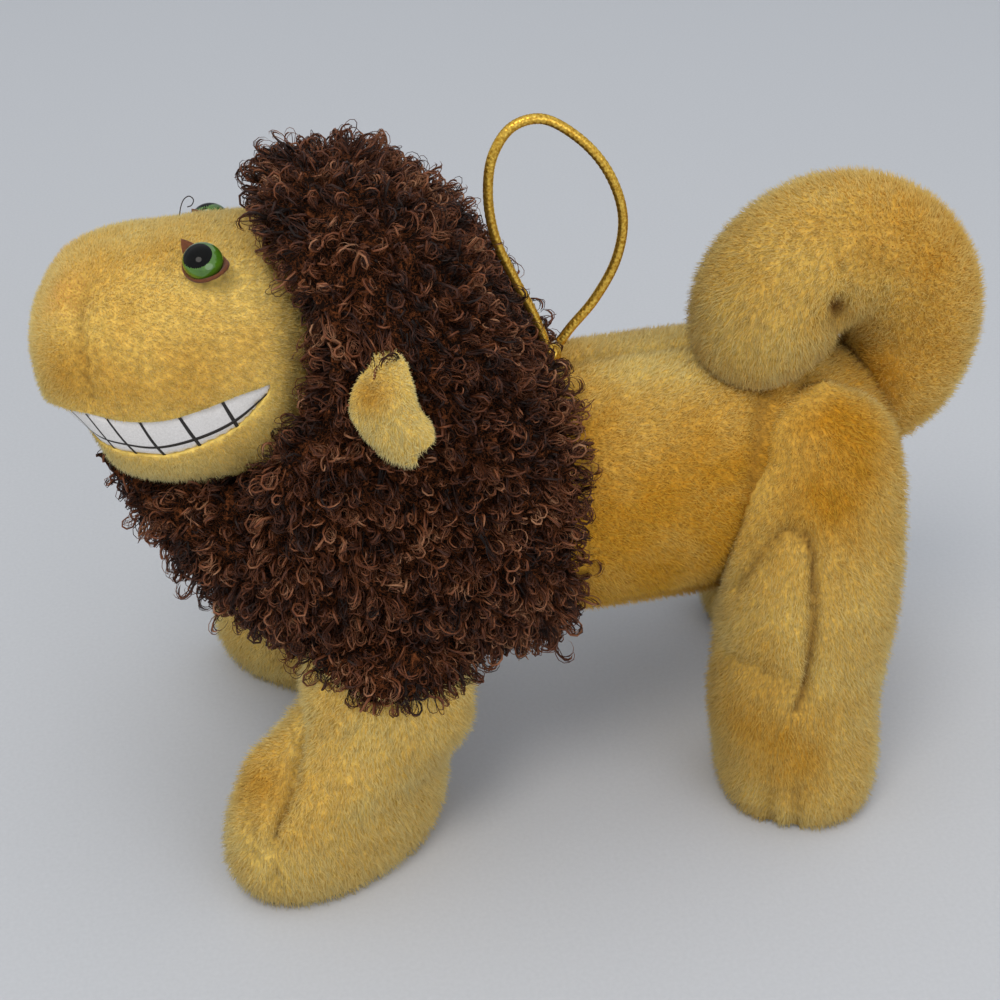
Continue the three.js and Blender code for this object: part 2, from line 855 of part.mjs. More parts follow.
const tailForm = {
  middle: new THREE.Vector3(trunkEndX - tailCurlInset, 0, tailCurlHeight),
  curl: tailCurlRadius,
  radius: tailRadius,
  tipShift: tailTipOffset,
  fromTurn: -75,
  toTurn: 209,
  sides: 14,
  rings: 16,
  innerSides: 10,
  shares: [
    [0, 1.4, 0, 0],
    [0.03, 1.35, 0.5, 0],
    [0.1, 1.15, 0.84, 0],
    [0.25, 1, 0.978, 0.05],
    [0.5, 0.97, 1.01, 0.3],
    [0.7, 0.95, 1.03, 0.65],
    [0.85, 0.93, 0.97, 0.9],
    [0.93, 0.92, 0.77, 0.97],
    [0.98, 0.9, 0.42, 1],
    [1, 0.9, 0, 1],
  ],
};
const tailInside = (grow) => solid(curledForm(tailForm, grow, tailForm.innerSides));
const tailWhole = solid(curledForm(tailForm)).subtract(trunkCut);
add(
  "tail_skin",
  tailWhole.subtract(tailInside(-plushThickness)),
  palePlush,
);
add(
  "tail_stuffing",
  tailInside(-plushThickness - seamGap).subtract(trunkCut),
  fibreFill,
);

// Ears: flat plush drops that hang against the mane from a seam along their top

const earAlongShare = 0.583;
const earTopShare = 0.779;
const earWidestShare = 0.5;
const earSides = 12;
const earRings = 8;
const earShares = [
  [0, 0.2, 0.5],
  [0.06, 0.31, 0.8],
  [0.2, 0.4, 1],
  [0.45, 0.5, 1],
  [0.7, 0.47, 1],
  [0.9, 0.31, 0.8],
  [1, 0, 0],
];
const earX = maneForm.startX + earAlongShare * maneLength;
const earTopZ = maneForm.lowZ + earTopShare * maneHeight;

// Half the mane's width at the ears, at a height.
function maneHalfWidth(z) {
  const [rise, wide, high] = smoothTable(maneForm.shares)(earAlongShare);
  const upShare = (z - maneForm.lowZ - rise * maneHeight) / ((high * maneHeight) / 2);
  const power = maneForm.roundness[upShare < 0 ? 0 : 1];
  return ((wide * maneWidth) / 2) * (1 - Math.abs(upShare) ** power) ** (1 / power);
}

function leftEar() {
  const at = smoothTable(earShares);
  const place = (share) => {
    const z = earTopZ - share * earLength;
    return new THREE.Vector3(earX, -maneHalfWidth(z) - earThickness / 2 - 2 * seamGap, z);
  };
  const loops = endsFirst(earRings).map((share) => {
    const [wide, thick] = at(share);
    return Array.from({ length: earSides }, (_, side) => {
      const angle = (2 * Math.PI * side) / earSides;
      const edge = Math.cos(angle) ** 2;
      const point = place(share);
      point.x += Math.max(wide * earWidth, thinnest) * Math.cos(angle);
      point.y -= (thick * earThickness * Math.sin(angle)) / 2;
      point.y -= (earCup * edge * wide) / earWidestShare;
      return point;
    });
  });
  return solid(skinThrough(loops, place(0), place(1))).subtract(maneCut);
}

const earGeometry = geometryOf(leftEar());
add("left_ear", earGeometry, palePlush);
add("right_ear", mirrored(earGeometry), palePlush);

// The hanging loop: one gold cord whose two ends come out of the knot.
// Its points are measured from the middle of the knot.

const loopRoute = [
  [-1.6, 2.9],
  [-2.7, 6.2],
  [-5, 11.8],
  [-9.3, 20.5],
  [-13.7, 30.9],
  [-15.3, 41.5],
  [-14.1, 50.6],
  [-9.8, 56.7],
  [-3.3, 58.1],
  [5.4, 53],
  [12.4, 44.6],
  [16.2, 33.8],
  [15.1, 23.2],
  [10, 13.1],
  [4.6, 6.5],
  [1.9, 2.8],
];
const loopSides = 8;
const loopSteps = 40;

const loopCurve = new THREE.CatmullRomCurve3(
  loopRoute.map(([x, z]) => new THREE.Vector3(knot.x + x, knot.y, knot.z + z)),
);
const cordSection = new THREE.Shape(
  Array.from({ length: loopSides }, (_, side) => {
    const angle = (2 * Math.PI * side) / loopSides;
    return new THREE.Vector2(Math.cos(angle), Math.sin(angle)).multiplyScalar(cordDiameter / 2);
  }),
);
add(
  "hang_loop",
  new THREE.ExtrudeGeometry(cordSection, { steps: loopSteps, extrudePath: loopCurve }),
  goldBraid,
);

// The toy is shifted so that the origin lies under the middle of its length

const reach = new THREE.Box3().setFromObject(lion);
lion.position.x = -(reach.min.x + reach.max.x) / 2;

export default lion;
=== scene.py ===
import bisect
import json
import math

import bmesh
import bpy
import numpy as np
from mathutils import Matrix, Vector

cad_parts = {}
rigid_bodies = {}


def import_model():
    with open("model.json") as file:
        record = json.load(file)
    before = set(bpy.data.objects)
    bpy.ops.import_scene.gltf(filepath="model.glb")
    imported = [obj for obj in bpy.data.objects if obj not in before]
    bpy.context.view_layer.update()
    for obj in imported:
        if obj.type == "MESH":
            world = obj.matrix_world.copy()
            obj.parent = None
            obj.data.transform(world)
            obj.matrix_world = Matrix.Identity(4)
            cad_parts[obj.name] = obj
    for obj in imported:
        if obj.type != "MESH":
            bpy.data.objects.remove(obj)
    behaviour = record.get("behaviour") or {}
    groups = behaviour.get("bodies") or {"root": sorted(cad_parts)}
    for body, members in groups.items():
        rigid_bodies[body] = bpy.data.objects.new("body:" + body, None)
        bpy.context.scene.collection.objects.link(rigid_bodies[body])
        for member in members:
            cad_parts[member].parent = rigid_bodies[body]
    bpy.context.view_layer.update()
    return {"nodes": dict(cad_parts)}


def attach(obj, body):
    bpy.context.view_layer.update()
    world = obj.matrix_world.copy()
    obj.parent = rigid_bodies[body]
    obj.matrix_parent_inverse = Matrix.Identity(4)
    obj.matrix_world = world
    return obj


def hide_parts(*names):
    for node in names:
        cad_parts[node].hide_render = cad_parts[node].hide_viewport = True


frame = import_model()


# Camera: it looks down at the toy's left side, a little from the front.
def add_object(name, data, place=(0, 0, 0)):
    """A new object in the scene, at a place in metres."""
    made = bpy.data.objects.new(name, data)
    made.location = place
    bpy.context.scene.collection.objects.link(made)
    return made


def look(thing, way):
    """Turns a camera or a lamp, which look along their own -Z."""
    thing.rotation_mode = "QUATERNION"
    thing.rotation_quaternion = way.to_track_quat("-Z", "Y")


camera_target = Vector((-0.0061, 0.0, 0.0740))
camera_distance = 0.432
camera_azimuth = math.radians(-11)
camera_elevation = math.radians(32)
camera_back = Vector(
    (
        math.sin(camera_azimuth) * math.cos(camera_elevation),
        -math.cos(camera_azimuth) * math.cos(camera_elevation),
        math.sin(camera_elevation),
    )
)
camera_data = bpy.data.cameras.new("camera")
camera_data.sensor_width = 36
camera_data.lens = 60.77
camera_data.clip_start = 0.01
camera_data.clip_end = 20
camera = add_object("camera", camera_data, camera_target + camera_back * camera_distance)
look(camera, -camera_back)
bpy.context.scene.camera = camera
bpy.context.scene.view_settings.view_transform = "Standard"


# Floor and light: a pale grey-blue sweep of paper, lit from a big soft lamp above the
# toy's left shoulder and from all round.
def linear(code):
    """An sRGB hex colour as linear red, green, blue and alpha."""
    parts = [int(code[i : i + 2], 16) / 255 for i in (1, 3, 5)]
    return [c / 12.92 if c <= 0.04045 else ((c + 0.055) / 1.055) ** 2.4 for c in parts] + [1.0]


def feed(node, inputs):
    """Sets a node's inputs, by name or in order. A node given as a value is its first output."""
    for name, value in inputs.items() if isinstance(inputs, dict) else enumerate(inputs):
        if isinstance(value, bpy.types.Node):
            value = next(socket for socket in value.outputs if socket.enabled)
        if isinstance(value, bpy.types.NodeSocket):
            node.id_data.links.new(value, node.inputs[name])
        else:
            node.inputs[name].default_value = value


def add_node(tree, kind, inputs=(), **settings):
    """A new node with its settings and its inputs."""
    node = tree.nodes.new(kind)
    for name, value in settings.items():
        setattr(node, name, value)
    feed(node, inputs)
    return node


def new_material(name, **values):
    """A material, its tree, its shader with the given values, and the place on the object."""
    material = bpy.data.materials.new(name)
    material.use_nodes = True
    tree = material.node_tree
    shader = tree.nodes["Principled BSDF"]
    feed(shader, {socket.replace("_", " "): value for socket, value in values.items()})
    return material, tree, shader, add_node(tree, "ShaderNodeTexCoord").outputs["Object"]


def grained_material(name, low, high, grain, bump=None, **values):
    """A material of two tones that follow a fine noise, which may stand proud as well."""
    material, tree, shader, place = new_material(name, **values)
    noise = add_node(tree, "ShaderNodeTexNoise", {"Vector": place, **grain})
    tones = {"Factor": noise, "A": linear(low), "B": linear(high)}
    feed(shader, {"Base Color": add_node(tree, "ShaderNodeMix", tones, data_type="RGBA")})
    if bump:
        feed(shader, {"Normal": add_node(tree, "ShaderNodeBump", {"Height": noise, **bump})})
    return material


MM = 0.001


def add_mesh(name, points, faces, material=None):
    """A smooth mesh object whose points are given in millimetres."""
    mesh = bpy.data.meshes.new(name)
    mesh.from_pydata((np.asarray(points, float) * MM).tolist(), [], [tuple(f) for f in faces])
    mesh.validate()
    mesh.polygons.foreach_set("use_smooth", [True] * len(mesh.polygons))
    if material:
        mesh.materials.append(material)
    return add_object(name, mesh)


# Uncoated paper: matt, with a grain of about a millimetre that only just shows.
paper = grained_material(
    "matt_sweep_paper", "#b9bbbe", "#c4c6c9", {"Scale": 900, "Detail": 3}, Roughness=0.85
)
sweep_profile = [(-2500, 0), (900, 0), (1400, 40), (1900, 220), (2300, 700), (2450, 1800)]
sweep_half_width = 3500
sweep_sides = (-sweep_half_width, sweep_half_width)
sweep_points = [(x, y, z) for y, z in sweep_profile for x in sweep_sides]
sweep_faces = [(2 * i, 2 * i + 1, 2 * i + 3, 2 * i + 2) for i in range(len(sweep_profile) - 1)]
floor = add_mesh("paper_sweep", sweep_points, sweep_faces, paper)

world = bpy.data.worlds.new("studio")
world.use_nodes = True
feed(world.node_tree.nodes["Background"], {"Color": linear("#eef2f8"), "Strength": 0.93})
bpy.context.scene.world = world


def add_lamp(name, place, size, energy, colour):
    """A round soft lamp that points at the toy's middle."""
    lamp = bpy.data.lights.new(name, "AREA")
    lamp.shape = "DISK"
    lamp.size = size
    lamp.energy = energy
    lamp.color = linear(colour)[:3]
    made = add_object(name, lamp, place)
    look(made, Vector((0, 0, 0.08)) - Vector(place))


add_lamp("key_softbox", (-0.42, -0.6, 1.2), 0.55, 5.6, "#fff8ee")
add_lamp("fill_softbox", (0.5, -1.1, 0.5), 0.9, 3.0, "#f8f8ff")


# Hanging loop: a round cord of gold metal yarn braided over a core. Both ends go into a
# knot on the back of the neck. It stands up by its own stiffness.
def along_curve(points, steps):
    """A smooth line through points, as a centripetal Catmull-Rom curve."""
    known = np.array(points, float)
    ends = np.vstack([2 * known[0] - known[1], known, 2 * known[-1] - known[-2]])
    last = len(known) - 1
    line = []
    for place in np.linspace(0, last, steps + 1):
        i = min(int(place), last - 1)
        p0, p1, p2, p3 = ends[i : i + 4]
        g0, g1, g2 = [max(np.linalg.norm(b - a), 1e-9) ** 0.5 for a, b in ((p0, p1), (p1, p2), (p2, p3))]
        start = ((p1 - p0) / g0 - (p2 - p0) / (g0 + g1) + (p2 - p1) / g1) * g1
        end = ((p2 - p1) / g1 - (p3 - p1) / (g1 + g2) + (p3 - p2) / g2) * g1
        t = place - i
        square_part = (3 * (p2 - p1) - 2 * start - end) * t**2
        cube_part = (2 * (p1 - p2) + start + end) * t**3
        line.append(p1 + start * t + square_part + cube_part)
    return np.array(line)


FULL_TURN = 2 * math.pi


def rings_along(line, sides, radius_at, first_side, closed=False):
    """Rings of points round a line, as far out as radius_at(ring number, turn) says."""
    line = np.asarray(line, float)
    ways = np.roll(line, -1, 0) - np.roll(line, 1, 0) if closed else np.gradient(line, axis=0)
    ways /= np.linalg.norm(ways, axis=1)[:, None]
    side = np.array(first_side, float)
    points = []
    for i, way in enumerate(ways):
        side = side - way * (side @ way)
        side /= np.linalg.norm(side)
        up = np.cross(way, side)
        for k in range(sides):
            turn = FULL_TURN * k / sides
            points.append(line[i] + radius_at(i, turn) * (math.cos(turn) * side + math.sin(turn) * up))
    return points


def tube(line, radius, sides, relief=None, closed=False):
    """Points and faces of a tube. The relief adds to the radius, by length gone and by turn."""
    gone = np.concatenate([[0], np.cumsum(np.linalg.norm(np.diff(line, axis=0), axis=1))])

    def radius_at(i, turn):
        return radius + (relief(gone[i], turn) if relief else 0)

    points = rings_along(line, sides, radius_at, (0, 1, 0), closed)
    count = len(line)
    faces = []
    for i in range(count if closed else count - 1):
        a, b = i * sides, (i + 1) % count * sides
        for k in range(sides):
            n = (k + 1) % sides
            faces.append((a + k, a + n, b + n, b + k))
    if not closed:
        faces.append(tuple(reversed(range(sides))))
        faces.append(tuple(range((count - 1) * sides, count * sides)))
    return points, faces


def fit(slot, body, *pieces):
    """Puts pieces on the body that they ride on. The slot is not used."""
    for piece in pieces:
        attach(piece, body)


cord_diameter = 2.4
knot_diameter = 6.0
knot_middle = np.array([4.89, -8.0, 118.95])
loop_route = [
    (-1.6, 2.9), (-2.7, 6.2), (-5, 11.8), (-9.3, 20.5), (-13.7, 30.9), (-15.3, 41.5), (-14.1, 50.6),
    (-9.8, 56.7), (-3.3, 58.1), (5.4, 53), (12.4, 44.6), (16.2, 33.8), (15.1, 23.2), (10, 13.1),
    (4.6, 6.5), (1.9, 2.8),
]
loop_line = along_curve([knot_middle + (x, 0, z) for x, z in loop_route], 640)
braid_pitch = 1.5
braid_ends = 4
braid_height = 0.07
braid_proud = 0.03
cord_sides = 16


def braid_relief(gone, turn):
    """How far two sets of yarn that cross stand out of the cord, or dip below 0 between them."""
    wound = FULL_TURN * gone / braid_pitch
    one, two = math.cos(braid_ends * turn + wound), math.cos(braid_ends * turn - wound)
    return braid_height * (max(one, two) - 0.6)


# Metallised yarn, braided: a warm glitter that breaks up from one strand to the next.
gold, gold_tree, gold_shader, gold_place = new_material(
    "gold_metallised_yarn_braided", Metallic=0.85, Roughness=0.3, Specular_Tint=linear("#fff1c4")
)
gold_noise = add_node(gold_tree, "ShaderNodeTexNoise", {"Vector": gold_place, "Scale": 1800, "Detail": 4})
gold_ramp = add_node(gold_tree, "ShaderNodeValToRGB", [gold_noise])
gold_stops = [(0.3, "#a9771b"), (0.72, "#f0c95a")]
for stop, (stop_place, stop_colour) in zip(gold_ramp.color_ramp.elements, gold_stops):
    stop.position, stop.color = stop_place, linear(stop_colour)
feed(gold_shader, {"Base Color": gold_ramp})

cord_points, cord_faces = tube(loop_line, cord_diameter / 2 - braid_proud, cord_sides, braid_relief)
loop_cord = add_mesh("gold_loop_cord", cord_points, cord_faces, gold)
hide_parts("hang_loop")
fit("gold_braid", "loop", loop_cord)

# The knot: the same cord tied once round itself, as an overhand knot pulled tight. It is
# half sunk in the mane, where it is stitched to the neck.
knot_turns = np.linspace(0, FULL_TURN, 120, endpoint=False)
knot_line = np.stack(
    [
        np.sin(knot_turns) + 2 * np.sin(2 * knot_turns),
        np.cos(knot_turns) - 2 * np.cos(2 * knot_turns),
        -1.35 * np.sin(3 * knot_turns),
    ],
    axis=1,
)
knot_scale = 0.25 * knot_diameter / 3
knot_looseness = 1.12
knot_cord_radius, knot_sides = 1.05, 12
knot_line = knot_line * knot_scale * knot_looseness + knot_middle
knot_points, knot_faces = tube(knot_line, knot_cord_radius, knot_sides, braid_relief, closed=True)
knot = add_mesh("gold_knot", knot_points, knot_faces, gold)
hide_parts("loop_knot")
fit("gold_braid", "torso", knot)


# The stuffed forms: each piece of cloth is a closed surface through oval rings, given as a
# table of shares. A form lies along the trunk, stands on the floor or curls as the tail does.
def smooth_row(rows, place):
    """Smooth values at a place in a table whose first column runs from 0 to 1."""
    places = [row[0] for row in rows]
    values = [np.array(row[1:], float) for row in rows]
    last = len(rows) - 1
    i1 = min(max(bisect.bisect_right(places, place), 1), last)
    t0, t1 = places[i1 - 1], places[i1]
    before = i1 - 2 if i1 >= 2 else i1
    after = i1 + 1 if i1 < last else i1 - 1
    w0 = 0.5 * (t1 - t0) / (t0 - (places[before] if i1 >= 2 else t1))
    w1 = 0.5 * (t1 - t0) / ((places[after] if i1 < last else t0) - t1)
    p = (place - t0) / (t1 - t0)
    return (
        (-w0 * p**3 + 2 * w0 * p**2 - w0 * p) * values[before]
        + ((1 + w0) * p**3 + (-1.5 - 2 * w0) * p**2 + (-0.5 + w0) * p + 1) * values[i1 - 1]
        + ((-1 - w1) * p**3 + (1.5 + w1) * p**2 + 0.5 * p) * values[i1]
        + (w1 * p**3 - w1 * p**2) * values[after]
    )


def section(form, share):
    """The middle of a form's ring, its two directions and its two half sizes."""
    row = smooth_row(form["shares"], share)
    if form["kind"] == "lying":
        rise, wide, high = row
        middle = (form["start_x"] + share * form["length"], 0, form["low_z"] + rise * form["height"])
        across, up = np.array([0.0, 1, 0]), np.array([0.0, 0, 1])
        return np.array(middle), across, up, wide * form["width"] / 2, high * form["height"] / 2
    if form["kind"] == "standing":
        shift_x, shift_out, half_x, half_y, turn_share = row
        turn = math.radians(form["turn"] * turn_share)
        lean = min(max((share - 0.1) / 0.48, 0), 1)
        lean = form["set_back"] * lean * lean * (3 - 2 * lean)
        x = form["x"] + shift_x * form["length"] + lean
        y = -(form["spread"] + shift_out * form["thickness"])
        along = np.array([math.cos(turn), math.sin(turn), 0])
        outwards = np.array([math.sin(turn), -math.cos(turn), 0])
        middle = np.array([x, y, form["top_z"] * (1 - share)])
        return middle, along, outwards, half_x * form["length"], half_y * form["thickness"]
    reach, thick, shift = row
    angle = math.radians(form["from_turn"] + (form["to_turn"] - form["from_turn"]) * share)
    radial = np.array([math.cos(angle), 0, math.sin(angle)])
    middle = np.array(form["middle"]) + radial * reach * form["curl"]
    middle = middle + np.array([0, -1.0, 0]) * shift * form["tip_shift"]
    return middle, radial, np.array([0, 1.0, 0]), thick * form["radius"], thick * form["radius"]


def surface_point(form, share, turn, grow):
    """A point on a form, from its place along it and its turn round it in radians."""
    middle, across, up, half_across, half_up = section(form, share)
    c, s = math.cos(turn), math.sin(turn)
    power = 2 / form["roundness"][0 if s < 0 else 1]
    return (
        middle
        + across * max(half_across + grow, 0.2) * math.copysign(abs(c) ** power, c)
        + up * max(half_up + grow, 0.2) * math.copysign(abs(s) ** power, s)
    )


def capped_faces(rings, sides):
    """The faces of a grid of rings, closed at both ends by the two points that follow it."""
    start, end, last = rings * sides, rings * sides + 1, (rings - 1) * sides
    faces = []
    for k in range(sides):
        n = (k + 1) % sides
        faces.append((start, n, k))
        faces.append((end, last + k, last + n))
        for a in range(0, last, sides):
            faces.append((a + k, a + n, a + sides + n, a + sides + k))
    return faces


def form_surface(form, grow, sides, rings):
    """Points, faces and the way the nap runs, from a form's start to its end."""
    shares = []
    for i in range(rings):
        even = (i + 0.5) / rings
        shares.append((even + 2 * (1 - math.cos(math.pi * even)) / 2) / 3)
    if form.get("flat_end"):
        shares[-1] = 1.0
    turns = [FULL_TURN * k / sides for k in range(sides)]
    grid = np.array([[surface_point(form, s, t, grow) for t in turns] for s in shares])
    start, end = section(form, 0)[0], section(form, 1)[0]
    if form["kind"] == "lying":
        start, end = start - (grow, 0, 0), end + (0 if form.get("flat_end") else grow, 0, 0)
    if form["kind"] == "standing":
        start = start + (0, 0, grow)
    nap = np.gradient(grid, axis=0)
    nap /= np.maximum(np.linalg.norm(nap, axis=2), 1e-9)[:, :, None]
    nap = np.vstack([nap.reshape(-1, 3), nap[0].mean(0), nap[-1].mean(0)])
    return np.vstack([grid.reshape(-1, 3), start, end]), capped_faces(rings, sides), nap


# Pile: one arrangement sets strands on a cloth, combs them along its nap, tangles them a
# little and gives each its own shade and its own cell in a map for baked colour.
def pile_nodes(name, is_even):
    """The arrangement as a tree, whose strands stand at random or evenly spaced."""
    tree = bpy.data.node_groups.new(name, "GeometryNodeTree")
    wanted = {
        "Geometry": ["Cloth"],
        "Collection": ["Strands"],
        "Material": ["Material"],
        "Int": ["Seed"],
        "Float": [
            "Density", "Spacing", "Length", "Width", "Spread",
            "Lean", "Tangle", "Clumping", "Fineness", "Droop",
        ],
    }
    for kind, titles in wanted.items():
        for title in titles:
            tree.interface.new_socket(name=title, in_out="INPUT", socket_type="NodeSocket" + kind)
    tree.interface.new_socket(name="Pile", in_out="OUTPUT", socket_type="NodeSocketGeometry")
    given = add_node(tree, "NodeGroupInput").outputs
    stored = {}
    for layer, kind in (
        ("bare", "FLOAT"),
        ("tall", "FLOAT"),
        ("nap", "FLOAT_VECTOR"),
        ("cell", "FLOAT_VECTOR"),
        ("strand_map", "FLOAT_VECTOR"),
    ):
        stored[layer] = add_node(tree, "GeometryNodeInputNamedAttribute", [layer], data_type=kind)
    drawn = {}
    for step, (draw, kind, low, high) in enumerate(
        [
            ("tangle", "FLOAT_VECTOR", (-1, -1, -1), (1, 1, 1)),
            ("spin", "FLOAT", 0, FULL_TURN),
            ("tall", "FLOAT", -1, 1),
            ("wide", "FLOAT", -1, 1),
            ("shade", "FLOAT", 0, 1),
        ],
        start=1,
    ):
        seed = add_node(tree, "ShaderNodeMath", [given["Seed"], step], operation="ADD")
        limits = {"Min": low, "Max": high, "Seed": seed}
        drawn[draw] = add_node(tree, "FunctionNodeRandomValue", limits, data_type=kind)

    # Where the strands stand
    apart = {"Distance Min": given["Spacing"], "Density Max": given["Density"]}
    spread = add_node(
        tree,
        "GeometryNodeDistributePointsOnFaces",
        {
            "Mesh": given["Cloth"],
            "Seed": given["Seed"],
            **(apart if is_even else {"Density": given["Density"]}),
        },
        distribute_method="POISSON" if is_even else "RANDOM",
    )
    bare = add_node(
        tree, "FunctionNodeCompare", [stored["bare"], 0.0], data_type="FLOAT", operation="GREATER_THAN"
    )
    kept = add_node(
        tree, "GeometryNodeDeleteGeometry", {"Geometry": spread, "Selection": bare}, domain="POINT"
    )

    # The way each one points
    place = add_node(tree, "GeometryNodeInputPosition")
    clump = add_node(
        tree, "ShaderNodeTexNoise", {"Vector": place, "Scale": given["Fineness"], "Detail": 2}
    ).outputs["Color"]
    clump = add_node(tree, "ShaderNodeVectorMath", [clump, (0.5, 0.5, 0.5)], operation="SUBTRACT")
    way = spread.outputs["Normal"]
    for part, amount in (
        (stored["nap"], "Lean"),
        (clump, "Clumping"),
        (drawn["tangle"], "Tangle"),
        ((0, 0, -1), "Droop"),
    ):
        pull = add_node(
            tree, "ShaderNodeVectorMath", {0: part, "Scale": given[amount]}, operation="SCALE"
        )
        way = add_node(tree, "ShaderNodeVectorMath", [way, pull], operation="ADD")
    way = add_node(tree, "ShaderNodeVectorMath", [way], operation="NORMALIZE")
    aim = add_node(tree, "FunctionNodeAlignRotationToVector", {"Vector": way}, axis="Z")
    spin = add_node(tree, "ShaderNodeCombineXYZ", {"Z": drawn["spin"]})
    spin = add_node(tree, "FunctionNodeEulerToRotation", [spin])
    turned = add_node(tree, "FunctionNodeRotateRotation", [aim, spin], rotation_space="LOCAL")

    # Its height and width
    scatter = add_node(
        tree, "ShaderNodeMath", [drawn["tall"], given["Spread"], 1], operation="MULTIPLY_ADD"
    )
    tall = add_node(tree, "ShaderNodeMath", [given["Length"], stored["tall"]], operation="MULTIPLY")
    tall = add_node(tree, "ShaderNodeMath", [tall, scatter], operation="MULTIPLY")
    wide = add_node(tree, "ShaderNodeMath", [drawn["wide"], 0.25, 1], operation="MULTIPLY_ADD")
    wide = add_node(tree, "ShaderNodeMath", [given["Width"], wide], operation="MULTIPLY")
    size = add_node(tree, "ShaderNodeCombineXYZ", [wide, wide, tall])

    # Its cell: the map is cut into as many rows and columns as hold all strands
    number = add_node(tree, "GeometryNodeInputIndex")
    total = add_node(tree, "GeometryNodeAttributeDomainSize", [kept], component="POINTCLOUD")
    cells = add_node(tree, "ShaderNodeMath", [total.outputs["Point Count"]], operation="SQRT")
    cells = add_node(tree, "ShaderNodeMath", [cells], operation="CEIL")
    column = add_node(tree, "ShaderNodeMath", [number, cells], operation="MODULO")
    row = add_node(tree, "ShaderNodeMath", [number, cells], operation="DIVIDE")
    row = add_node(tree, "ShaderNodeMath", [row], operation="FLOOR")
    cell = add_node(tree, "ShaderNodeCombineXYZ", [column, row])

    made = kept
    for layer, value, kind in (("shade", drawn["shade"], "FLOAT"), ("cell", cell, "FLOAT_VECTOR")):
        made = add_node(
            tree,
            "GeometryNodeStoreNamedAttribute",
            {"Geometry": made, "Name": layer, "Value": value},
            data_type=kind,
            domain="POINT",
        )
    strands = add_node(
        tree,
        "GeometryNodeCollectionInfo",
        {"Collection": given["Strands"], "Separate Children": True, "Reset Children": True},
    )
    made = add_node(
        tree,
        "GeometryNodeInstanceOnPoints",
        {"Points": made, "Instance": strands, "Pick Instance": True, "Rotation": turned, "Scale": size},
    )
    made = add_node(tree, "GeometryNodeRealizeInstances", [made])
    in_cell = add_node(
        tree, "ShaderNodeVectorMath", [stored["cell"], stored["strand_map"]], operation="ADD"
    )
    map_size = add_node(tree, "ShaderNodeCombineXYZ", [cells, cells, 1.0])
    baked = add_node(tree, "ShaderNodeVectorMath", [in_cell, map_size], operation="DIVIDE")
    made = add_node(
        tree,
        "GeometryNodeStoreNamedAttribute",
        {"Geometry": made, "Name": "OFBake", "Value": baked},
        data_type="FLOAT2",
        domain="CORNER",
    )
    made = add_node(tree, "GeometryNodeSetMaterial", {"Geometry": made, "Material": given["Material"]})
    add_node(tree, "NodeGroupOutput", [made])
    return tree


straight_pile = pile_nodes("pile_on_cloth", False)
curly_pile = pile_nodes("evenly_spaced_locks", True)


def store_layers(mesh, layers, domain="POINT"):
    """Keeps numbers or directions on a mesh, for the pile and the materials to read."""
    for layer, values in layers.items():
        values = np.asarray(values, np.float32)
        kind, field = ("FLOAT", "value") if values.ndim == 1 else ("FLOAT_VECTOR", "vector")
        mesh.attributes.new(layer, kind, domain).data.foreach_set(field, values.ravel())


strand_taper = 0.55


def strand_set(name, tufts):
    """A collection of tufts. Each tuft is a list of tapering fibres: line, radius and sides."""
    made = bpy.data.collections.new(name)
    bpy.context.scene.collection.children.link(made)
    for number, tuft in enumerate(tufts):
        points, tips, fibres, faces, corners = [], [], [], [], []
        for fibre, (line, radius, sides) in enumerate(tuft):
            last, side = len(line) - 1, (1, 0, 0)
            first, tip = len(points), len(points) + last * sides
            rings = rings_along(line, sides, lambda i, _: radius * (1 - strand_taper * i / last), side)
            points += [*rings[: last * sides], line[-1]]
            tips += [i / last for i in range(last) for _ in range(sides)] + [1.0]
            fibres += [(fibre + 0.5) / len(tuft)] * (last * sides + 1)
            for i in range(last):
                low, high = (i + 0.1) / len(line), (i + 1.1) / len(line)
                a = first + i * sides
                for k in range(sides):
                    n = (k + 1) % sides
                    left = (fibre + (k + 0.1) / sides) / len(tuft)
                    right = (fibre + (k + 0.9) / sides) / len(tuft)
                    corners += [(left, low, 0), (right, low, 0)]
                    if i < last - 1:
                        faces.append((a + k, a + n, a + sides + n, a + sides + k))
                        corners += [(right, high, 0), (left, high, 0)]
                    else:
                        faces.append((a + k, a + n, tip))
                        corners += [((left + right) / 2, high, 0)]
        mesh = bpy.data.meshes.new(f"{name}_{number}")
        mesh.from_pydata([tuple(p) for p in points], [], faces)
        mesh.polygons.foreach_set("use_smooth", [True] * len(faces))
        store_layers(mesh, {"tip": tips, "fibre": fibres})
        store_layers(mesh, {"strand_map": corners}, "CORNER")
        made.objects.link(bpy.data.objects.new(mesh.name, mesh))
    return made


def plain_mesh(piece):
    """What an object's modifiers make of it, as a mesh of its own."""
    bpy.context.view_layer.update()
    graph = bpy.context.evaluated_depsgraph_get()
    return bpy.data.meshes.new_from_object(
        piece.evaluated_get(graph), preserve_all_data_layers=True, depsgraph=graph
    )


def grow_pile(name, points, faces, layers, strands, material, **values):
    """The pile of one cloth, whose layers say where it is bare, how tall and which way combed."""
    tree = curly_pile if "Spacing" in values else straight_pile
    ground = add_mesh(name + "_ground", points, faces)
    store_layers(ground.data, layers)
    modifier = ground.modifiers.new("pile", "NODES")
    modifier.node_group = tree
    settings = {"Strands": strands, "Material": material, **values}
    for item in tree.interface.items_tree:
        if item.in_out == "INPUT" and item.name in settings:
            modifier[item.identifier] = settings[item.name]
    mesh = plain_mesh(ground)
    mesh.name = name
    bpy.data.objects.remove(ground)
    for spare in ("cell", "nap", "bare", "tall"):
        if spare in mesh.attributes:
            mesh.attributes.remove(mesh.attributes[spare])
    return add_object(name, mesh)
